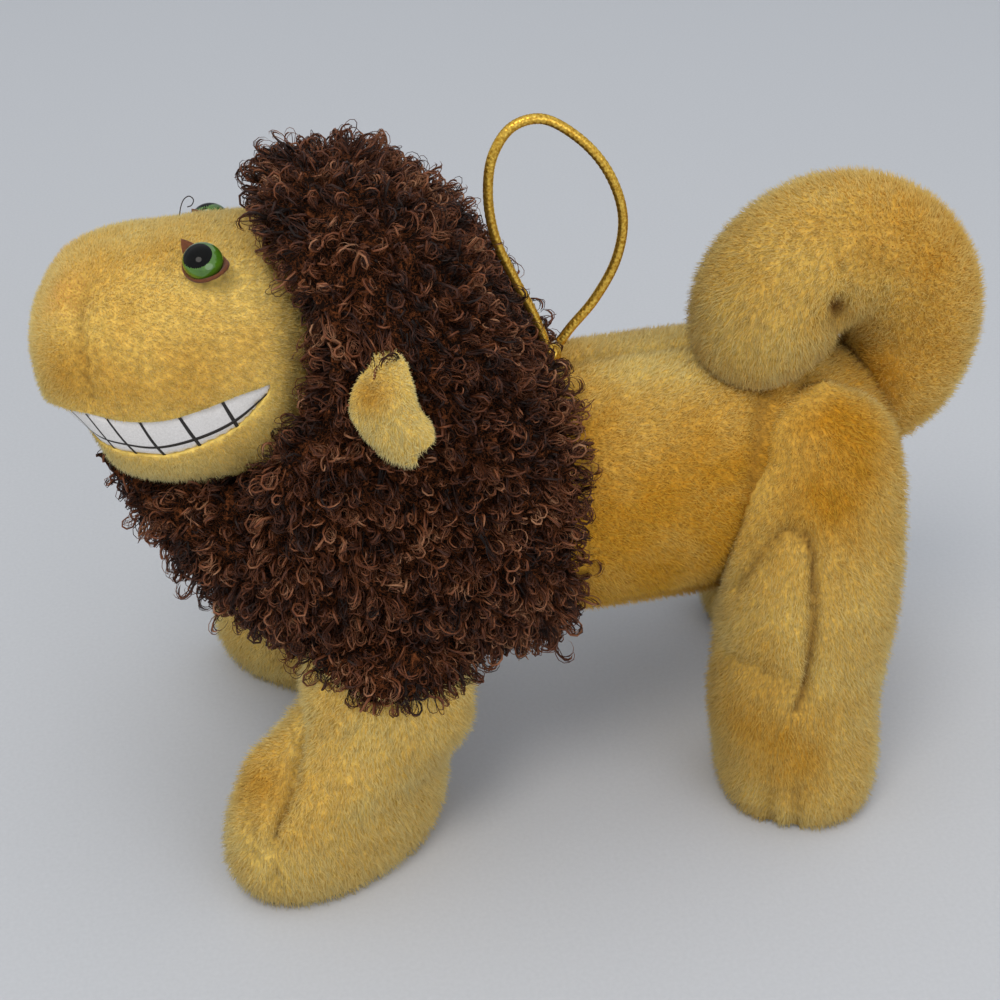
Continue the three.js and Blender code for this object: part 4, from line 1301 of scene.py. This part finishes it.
curl_stretch = add_node(
    curl_tree, "ShaderNodeVectorMath", [curl_map, (46.0, 5.0, 1.0)], operation="MULTIPLY"
)
curl_streaks = add_node(
    curl_tree,
    "ShaderNodeTexNoise",
    {"Vector": curl_stretch, "W": curl_own, "Scale": 1.0, "Detail": 2},
    noise_dimensions="4D",
)
curl_level = -1.25
for share, amount in (
    (curl_own, 0.4),
    (tip, 0.3),
    (curl_noise, 0.5),
    (curl_patch, 1.1),
    (curl_streaks, 1.1),
):
    curl_level = add_node(
        curl_tree, "ShaderNodeMath", [share, amount, curl_level], operation="MULTIPLY_ADD"
    )
curl_ramp = add_node(curl_tree, "ShaderNodeValToRGB", [curl_level])
curl_stops = [(0.12, "#190a04"), (0.36, "#46210e"), (0.6, "#7f4727"), (0.95, "#b88864")]
for stop_place, _ in curl_stops[1:-1]:
    curl_ramp.color_ramp.elements.new(stop_place)
for stop, (stop_place, stop_colour) in zip(curl_ramp.color_ramp.elements, curl_stops):
    stop.position, stop.color = stop_place, linear(stop_colour)
curl_bump = add_node(
    curl_tree, "ShaderNodeBump", {"Height": curl_streaks, "Strength": 0.9, "Distance": 0.0005}
)
feed(curl_shader, {"Base Color": curl_ramp, "Normal": curl_bump})

# Knitted backing: dull brown, painted near black as painted shade deep between the locks, with a few
# brown threads across it.
mane_ground, ground_tree, ground_shader, ground_place = new_material(
    "dark_brown_knitted_backing", Roughness=0.95, Specular_IOR_Level=0.1
)
threads = 0.0
for scale, shift in ((330, 0.0), (420, 7.0), (560, 19.0)):
    thread = add_node(
        ground_tree,
        "ShaderNodeTexNoise",
        {"Vector": ground_place, "W": shift, "Scale": scale, "Detail": 1, "Distortion": 1.2},
        noise_dimensions="4D",
    )
    thread = add_node(ground_tree, "ShaderNodeMath", [thread, 0.5], operation="SUBTRACT")
    thread = add_node(ground_tree, "ShaderNodeMath", [thread], operation="ABSOLUTE")
    thread = add_node(
        ground_tree,
        "ShaderNodeMapRange",
        {"Value": thread, "From Max": 0.045, "To Min": 1.0, "To Max": 0.0},
    )
    threads = add_node(ground_tree, "ShaderNodeMath", [threads, thread], operation="MAXIMUM")
# The near-black tone is painted shade; the lighter brown is the threads
ground_tones = {"Factor": threads, "A": linear("#160903"), "B": linear("#7a4424")}
ground_bump = {"Height": threads, "Strength": 1.0, "Distance": 0.0008}
feed(
    ground_shader,
    {
        "Base Color": add_node(ground_tree, "ShaderNodeMix", ground_tones, data_type="RGBA"),
        "Normal": add_node(ground_tree, "ShaderNodeBump", ground_bump),
    },
)
mane_cloth = add_mesh("mane_cloth", mane_points, mane_faces, mane_ground)
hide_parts("mane_left_panel", "mane_right_panel", "neck_stuffing")
fit("curly_pile", "torso", mane_cloth)

# Twelve tufts to copy, every sixth one wound loosely: one thick lock and four finer fibres
draw = np.random.default_rng(17)
tuft_fibres = [(0.36, 4, 9), (0.17, 3, 8), (0.15, 3, 8), (0.15, 3, 8), (0.13, 3, 8)]
mane_tufts = []
for number in range(12):
    around = draw.uniform(0, FULL_TURN)
    lean = draw.uniform(-0.5, 0.5)
    level = np.array([math.cos(around), math.sin(around), 0.0])
    rising = np.array([-math.sin(around) * lean, math.cos(around) * lean, 1.0])
    rising /= np.linalg.norm(rising)
    sideways = np.cross(level, rising)
    is_loose = number % 6 == 5
    ball_radius = draw.uniform(1.5, 2.2) * (1.5 if is_loose else 1)
    ball_height = draw.uniform(2.8, 4.2) * (1.3 if is_loose else 1)
    turns = 0.65 if is_loose else draw.uniform(0.95, 1.35)
    tuft = []
    for radius, sides, count in tuft_fibres:
        own_level = level + draw.uniform(-0.9, 0.9, 3)
        own_level /= np.linalg.norm(own_level)
        own_rising = rising - own_level * (rising @ own_level)
        own_rising /= np.linalg.norm(own_rising)
        root = level * draw.uniform(-0.8, 0.8) + sideways * draw.uniform(-0.8, 0.8)
        own_radius = ball_radius * draw.uniform(0.6, 1.15)
        own_height = ball_height * draw.uniform(0.8, 1.15)
        aside = draw.uniform(-1.0, 1.0)
        start = draw.uniform(-1.6, 1.6) - math.pi / 2
        way_round = 1 if draw.random() < 0.75 else -1
        line = []
        for share in np.linspace(0, 1, count):
            angle = start + FULL_TURN * turns * share * way_round
            grown = own_radius * min(share / 0.2, 1) * (1 - 0.3 * share)
            risen = own_height * min(share / 0.25, 1) ** 0.7
            wound = grown * (math.cos(angle) * own_level + math.sin(angle) * own_rising)
            line.append(root * (1 - share) + np.array([0, 0, risen]) + sideways * aside * share + wound)
        tuft.append((line, radius, sides))
    mane_tufts.append(tuft)
mane_curls = strand_set("mane_curl", mane_tufts)
curl_values = {
    "Density": 1.0 / MM**2,
    "Length": MM,
    "Width": MM,
    "Lean": 1.0,
    "Clumping": 0.8,
    "Fineness": 120.0,
    "Spread": 0.22,
}

# Where no lock grows: on the face, on the trunk and round the knot. Locks lie forwards over
# the brow, down at the hem and back at the collar, and are short beside face and ears.
from_head = outside_by(head_form, mane_points)
mane_bare = np.maximum(-from_head - 1.0, -outside_by(trunk_form, mane_points) - 3.5)
for leg_points in (mane_points, mane_points * mirror):
    mane_bare = np.maximum(mane_bare, -outside_by(front_leg_form, leg_points) - 4)
mane_bare = np.maximum(mane_bare, 4.5 - np.linalg.norm(mane_points - knot_middle, axis=1))
over_brow = np.clip((mane_points[:, 2] - 150) / 6, 0, 1) * np.clip((-42 - mane_points[:, 0]) / 8, 0, 1)
at_hem = np.clip((64 - mane_points[:, 2]) / 8, 0, 1)
ear_top = np.array([-40.0, 0.0, 144.5])
over_ear = np.exp(-((((mane_points - ear_top) * (1 / 10, 0, 1 / 4.5)) ** 2).sum(axis=1)))
over_ear *= np.abs(mane_points[:, 1]) > 25
by_face = np.clip(1 - behind_face_edge(mane_points) / 9, 0, 1) * np.clip(1 - from_head / 9, 0, 1)
by_face *= 1 - over_brow
mane_tall = 1 - 0.5 * by_face - 0.05 * over_brow + 0.15 * at_hem + 0.5 * over_ear
mane_nap = np.zeros_like(mane_points)
mane_nap[:, 0] = 0.1 + 0.9 * by_face - 0.7 * over_brow
mane_nap[:, 2] = -0.2 - 0.9 * at_hem - 1.5 * over_ear
bands = [(-1e3, 88.0), (88.0, 128.0), (128.0, 1e3)]
for side, sign in (("left", 1), ("right", -1)):
    for number, (low, high) in enumerate(bands):
        off_band = np.maximum(low - mane_points[:, 2], mane_points[:, 2] - high)
        own_bare = np.maximum(np.maximum(mane_bare, sign * mane_points[:, 1]), off_band)
        locks = grow_pile(
            f"mane_{side}_locks_{number}",
            mane_points,
            mane_faces,
            {"bare": own_bare, "tall": mane_tall, "nap": mane_nap},
            mane_curls,
            curl_brown,
            Spacing=2.45 * MM,
            Seed=70 + 10 * number + sign,
            Tangle=0.55,
            Droop=0.1,
            **curl_values,
        )
        fit("curly_pile", "torso", locks)

# One stray fibre of the mane has worked loose and curled up beside the right eye. It is a
# single acrylic filament, thicker than the rest of the pile.
stray_route = [
    (-78.9, 16, 149), (-78.9, 16, 151), (-78.4, 16, 153.2), (-77.5, 16, 154.9), (-76.3, 16, 155.5),
    (-75.4, 16, 154.6), (-76, 16, 153.2), (-77, 16, 152.9),
]
stray_radius, stray_sides = 0.13, 6
stray_points, stray_faces = tube(along_curve(stray_route, 24), stray_radius, stray_sides)
fit("curly_pile", "torso", add_mesh("mane_stray_fibre", stray_points, stray_faces, curl_brown))

# The mane's hem: the same curly pile, turned down over the top of each front leg and tacked
# there, with a fringe of locks that hangs over the leg.
hem_depth = 0.4
hem_pile_height = 0.95
hem_points, hem_faces, _ = form_surface(front_leg_form, -hem_depth, 72, 90)
hem_faces = [face for face in hem_faces if max(above_hem(hem_points[list(face)])) > 0]
hem_points, hem_faces = drop_unused(hem_points, hem_faces)
hem_layers = {
    "bare": np.maximum(-outside_by(mane_form, hem_points) - 5.5, -outside_by(trunk_form, hem_points)),
    "tall": np.full(len(hem_points), hem_pile_height),
    "nap": np.tile((0.0, 0.0, -1.1), (len(hem_points), 1)),
}
for side, seed in (("left", 98), ("right", 96)):
    faces, points = on_side(side, hem_faces, hem_points)
    hem_cloth = add_mesh(f"mane_{side}_hem_cloth", points, faces, mane_ground)
    hem_locks = grow_pile(
        f"mane_{side}_hem_locks",
        points,
        faces,
        hem_layers,
        mane_curls,
        curl_brown,
        Spacing=2.3 * MM,
        Seed=seed,
        Tangle=0.4,
        Droop=0.0,
        **curl_values,
    )
    fit("curly_pile", "torso", hem_cloth, hem_locks)

# Ears: flat drops of plush, stuffed a little, hanging against the mane from a seam along
# their top, with the rear lower edge rolled forwards.
ear_share = 0.583
ear_x = mane_form["start_x"] + ear_share * mane_form["length"]
ear_top_z = mane_form["low_z"] + 0.779 * mane_form["height"] - 2.0
ear_length = 20.5
ear_width = 17.6
ear_thickness = 6.2
ear_gap = 0.6
ear_top_sunk = 7.5
ear_roll = np.array([-3.0, -3.2, 1.0])
ear_rings, ear_sides = 44, 48
ear_shares = [
    (0, 0.12, 0.14, 0.5, 0), (0.06, 0.2, 0.22, 0.8, 0), (0.2, 0.4, 0.27, 1, 0), (0.36, 0.49, 0.3, 1, 0),
    (0.5, 0.51, 0.38, 1, 0.03), (0.62, 0.48, 0.48, 1, 0.06), (0.74, 0.42, 0.52, 1, 0.09),
    (0.82, 0.36, 0.44, 0.95, 0.11), (0.87, 0.31, 0.2, 0.9, 0.12), (0.93, 0.21, 0.27, 0.75, 0.14),
    (0.97, 0.13, 0.2, 0.55, 0.16), (1, 0, 0, 0, 0.2),
]


def half_width_at(form, share, z, inset=0.0):
    """Half the width of a lying form at a height, in its section at a share of its length."""
    middle, _, _, half_wide, half_high = section(form, share)
    level = (z - middle[2]) / (half_high - inset)
    power = form["roundness"][0 if level < 0 else 1]
    return (half_wide - inset) * max(1 - abs(level) ** power, 0) ** (1 / power)


ear_grid = []
for i in range(ear_rings):
    even = (i + 0.5) / ear_rings
    share = (even + (1 - math.cos(math.pi * even)) / 2) / 2
    front_wide, rear_wide, thick, aside = smooth_row(ear_shares, share)
    low = min(max((share - 0.3) / 0.6, 0), 1)
    low = low * low * (3 - 2 * low)
    sunk = ear_top_sunk * max(1 - share / 0.36, 0) ** 2
    z = ear_top_z - share * ear_length
    middle_y = -half_width_at(mane_form, ear_share, z) - ear_thickness / 2 - ear_gap
    ring = []
    for k in range(ear_sides):
        c, s = math.cos(FULL_TURN * k / ear_sides), math.sin(FULL_TURN * k / ear_sides)
        wide = front_wide if c < 0 else rear_wide
        x = ear_x + aside * ear_width + max(wide * ear_width, 0.3) * c
        y = middle_y - thick * ear_thickness * s / 2 + sunk + (1.6 if c > 0 else 2.4) * c * c * wide * 2
        ring.append((x, y, z) + ear_roll * (max(c, 0) ** 2 * low))
    ear_grid.append(ring)
ear_grid = np.array(ear_grid)
ear_points = np.vstack([ear_grid.reshape(-1, 3), ear_grid[0].mean(0), ear_grid[-1].mean(0)])
ear_nap = np.gradient(ear_grid, axis=0)
ear_nap /= np.linalg.norm(ear_nap, axis=2)[:, :, None]
ear_nap = np.vstack([ear_nap.reshape(-1, 3), (0, 0, -1), (0, 0, -1)])
ear_faces = [(*face[1:], face[0]) for face in capped_faces(ear_rings, ear_sides)]
# The ear is paler than the body; its top, where it goes in under the mane, is painted deeper gold and
# darker, as painted shade
ear_looks = {
    "gold": -0.3 + spots(ear_points, [((ear_x - 5, -52, ear_top_z - 4), 6, 1.1)]),
    "press": spots(ear_points, [((ear_x - 5, -52, ear_top_z - 1), 4.5, 0.35)]),
}
ear_bare = {"": np.full(len(ear_points), -1.0)}
ear_edge = np.abs(np.cos(FULL_TURN * (np.arange(len(ear_points)) % ear_sides) / ear_sides))
for side in ("left", "right"):
    faces, points, nap = on_side(side, ear_faces, ear_points, ear_nap)
    cloth, pile = plush_pieces(
        side + "_ear",
        points,
        faces,
        nap,
        ear_bare,
        0.9 - 0.6 * ear_edge**4,
        ear_looks,
        density=6.5,
        seed=61,
        Length=2.0 * MM,
        Clumping=2.4,
        Fineness=300.0,
        Tangle=0.6,
    )
    fit("pale_plush", side + "_ear", cloth, pile)
    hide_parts(side + "_ear")

# Eyes: a green plastic dome with a black pupil, pressed through a piece of brown felt whose
# corner points to the brow and whose lower edge stands up round the dome like a lid.

# Clear green plastic, moulded and bright: a hard gleam over a depth of darker green.
green = grained_material(
    "green_clear_plastic_moulded",
    "#274a0c",
    "#57861d",
    {"Scale": 420, "Detail": 2},
    Roughness=0.06,
    Coat_Weight=0.6,
    Coat_Roughness=0.02,
)
# Black moulded plastic: so smooth that it shows the lamps and little else.
black = grained_material(
    "black_glossy_plastic_moulded",
    "#050505",
    "#10100e",
    {"Scale": 900, "Detail": 1},
    Roughness=0.05,
    Specular_IOR_Level=0.12,
)
# Pressed wool felt: dull, mottled brown, with a short fuzz instead of threads.
felt = grained_material(
    "brown_wool_felt_pressed",
    "#43200a",
    "#7d4520",
    {"Scale": 1500, "Detail": 4},
    bump={"Strength": 0.6, "Distance": 0.0002},
    Roughness=0.95,
    Sheen_Weight=0.1,
)
dome_radius, dome_height, dome_rim, dome_lift = 4.45, 3.9, 0.7, 1.4
dome_foot, dome_steps = -0.3, 48
pupil_radius = 3.2
pupil_bulge, pupil_sunk = 0.08, 0.02
pupil_middles = {"left": (1.0, 0.1), "right": (0.8, -1.2)}
felt_radius, felt_thickness, felt_depth = 4.6, 0.8, 0.9
felt_tip_turn, felt_tip_reach = math.radians(-60), 8.4
felt_lid_turn, felt_lid_reach, felt_lid_height, felt_lid_pull = 2.35, 2.0, 3.5, 0.6


def disc(radii, steps, place):
    """Points of rings round a middle point, put where place(radius, turn) says, and faces."""
    points = [place(0, 0)] + [place(r, FULL_TURN * k / steps) for r in radii for k in range(steps)]
    faces = []
    for k in range(steps):
        n = (k + 1) % steps
        faces.append((0, 1 + k, 1 + n))
        for a in range(1, (len(radii) - 1) * steps, steps):
            faces.append((a + k, a + steps + k, a + steps + n, a + n))
    return points, faces


def round_rings(count):
    """Radii of rings that lie evenly on a round dome, up to 1 at its rim."""
    return [math.sin(math.pi / 2 * i / count) for i in range(1, count + 1)]


def on_dome(x, y):
    """A point on the outside of the dome."""
    rest = max(1 - (x * x + y * y) / dome_radius**2, 0)
    return np.array([x, y, dome_rim + (dome_height - dome_rim) * math.sqrt(rest)])


def dome_place(r, turn):
    """A point on the dome, at a share of its radius."""
    return on_dome(dome_radius * r * math.cos(turn), dome_radius * r * math.sin(turn))


def turned_off(turn, other):
    """How far apart two directions are, up to half a turn."""
    return abs(math.atan2(math.sin(turn - other), math.cos(turn - other)))


def felt_place(r, turn):
    """A round sheet with one pointed corner, turned up along its lower edge."""
    off_tip, off_lid = turned_off(turn, felt_tip_turn), turned_off(turn, felt_lid_turn)
    tip = felt_tip_reach * math.exp(-off_tip * 1.35) if off_tip < 0.6 else 0
    edge = max(felt_radius + felt_lid_reach * math.exp(-((off_lid / 0.8) ** 2)), tip)
    turned_up = math.exp(-((off_lid / 0.85) ** 2)) * max(r - 0.62, 0) / 0.38
    reach = r * edge - felt_lid_pull * turned_up
    up = felt_lid_height * turned_up - felt_depth
    return np.array([reach * math.cos(turn), reach * math.sin(turn), up])


dome_points, dome_faces = disc(round_rings(14), dome_steps, dome_place)
rim = len(dome_points) - dome_steps
foot = len(dome_points)
dome_points += [(x, y, dome_foot) for x, y, _ in dome_points[rim:]]
for k in range(dome_steps):
    n = (k + 1) % dome_steps
    dome_faces.append((rim + k, foot + k, foot + n, rim + n))
dome_faces.append(tuple(reversed(range(foot, foot + dome_steps))))
felt_points, felt_faces = disc([i / 14 for i in range(1, 15)], 96, felt_place)
for side, (pupil_x, pupil_y) in pupil_middles.items():
    skin, ahead, down, out = eye_frame(side)

    def pupil_place(r, turn):
        """A point on this eye's pupil, which stands a hair proud of the dome."""
        x, y = pupil_radius * r * math.cos(turn), pupil_radius * r * math.sin(turn)
        proud = pupil_bulge * math.sqrt(max(1 - r * r, 0)) - pupil_sunk
        return on_dome(pupil_x + x, pupil_y + y) + (0, 0, proud)

    made = []
    for name, (points, faces), material in (
        ("_eye_green", (dome_points, dome_faces), green),
        ("_eye_pupil", disc(round_rings(10), 40, pupil_place), black),
        ("_eye_felt_sheet", (felt_points, felt_faces), felt),
    ):
        placed = np.array([skin + ahead * x + down * y + out * (z + dome_lift) for x, y, z in points])
        faces, placed = on_side(side, faces, placed)
        made.append(add_mesh(side + name, placed, faces, material))
    dome, pupil, sheet = made
    thicken(sheet, felt_thickness, 0)
    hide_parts(side + "_eye_dome")
    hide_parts(side + "_eye_core")
    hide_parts(side + "_eye_felt")
    fit("green_eye", "torso", dome)
    fit("black_pupil", "torso", pupil)
    fit("brown_felt", "torso", sheet)

# Printed lines: flat black ribbons of ink on the satin, thin towards the nose and thicker
# towards the corner of the mouth, as a brush leaves them.

# Printing ink: matt black, a little brown where it is thin on the threads.
ink = grained_material("black_printing_ink_matt", "#0a0807", "#241d18", {"Scale": 1200}, Roughness=0.6)
ink_thickness, ink_proud = 0.06, 0.07
ink_points, ink_faces = [], []


def on_teeth(x, z, side):
    """A point on the satin's face, at a place seen from the side, on the side 1 or -1."""
    share = min(max((x - head_form["start_x"]) / head_form["length"], 0.002), 1)
    reach = half_width_at(head_form, share, z, teeth_inset) + ink_proud
    return np.array([x, -side * reach, z])


def brush(places, widths, side, steps):
    """One stroke through places given as shares of the head's length and height."""
    route = along_curve([(x, z, wide) for (x, z), wide in zip(on_head(places), widths)], steps)
    ways = np.gradient(route[:, :2], axis=0)
    ways /= np.linalg.norm(ways, axis=1)[:, None]
    first = len(ink_points)
    for (x, z, wide), (dx, dz) in zip(route, ways * route[:, 2:] / 2):
        ink_points.extend(set_face([on_teeth(x - dz, z + dx, side), on_teeth(x + dz, z - dx, side)]))
    for a in range(first, first + 2 * steps, 2):
        face = (a, a + 1, a + 3, a + 2)
        ink_faces.append(face if side == 1 else tuple(reversed(face)))


middle_places = [
    (0.03, 0.365), (0.11, 0.355), (0.201, 0.332), (0.274, 0.322), (0.378, 0.312), (0.498, 0.344),
    (0.637, 0.414), (0.745, 0.516),
]
middle_widths = [0.25, 0.3, 0.4, 0.45, 0.6, 0.75, 0.7, 0.25]
tooth_places = [
    ([(0.06, 0.42), (0.085, 0.36), (0.125, 0.31)], 0.25),
    ([(0.125, 0.43), (0.15, 0.36), (0.18, 0.29)], 0.3),
    ([(0.178, 0.44), (0.205, 0.36), (0.24, 0.28)], 0.4),
    ([(0.237, 0.45), (0.278, 0.345), (0.33, 0.25)], 0.5),
    ([(0.34, 0.44), (0.378, 0.335), (0.42, 0.25)], 0.65),
    ([(0.462, 0.465), (0.498, 0.375), (0.53, 0.3)], 0.8),
    ([(0.605, 0.5), (0.63, 0.43), (0.652, 0.37)], 0.85),
]
for side in (1, -1):
    brush(middle_places, middle_widths, side, 60)
    for places, wide in tooth_places:
        brush(places, [0.8 * wide, wide, 0.9 * wide], side, 16)
ink_lines = add_mesh("teeth_ink", ink_points, ink_faces, ink)
thicken(ink_lines, ink_thickness, -1)
fit("printed_satin", "torso", ink_lines)

# CAD nodes that stay: the moulded washer that locks each eye's shank inside the head.

# Polypropylene, moulded: milky white with a low gleam.
washer_white = grained_material(
    "white_polypropylene_moulded", "#dedbd2", "#eeece6", {"Scale": 600, "Detail": 2}, Roughness=0.4
)
for side in ("left", "right"):
    washer = frame["nodes"][f"{side}_eye_washer"]
    washer.data.materials.clear()
    washer.data.materials.append(washer_white)

# The strands that were only copied from go.
for spare in (plush_fibres, mane_curls):
    for strand in list(spare.objects):
        bpy.data.objects.remove(strand)
    bpy.data.collections.remove(spare)
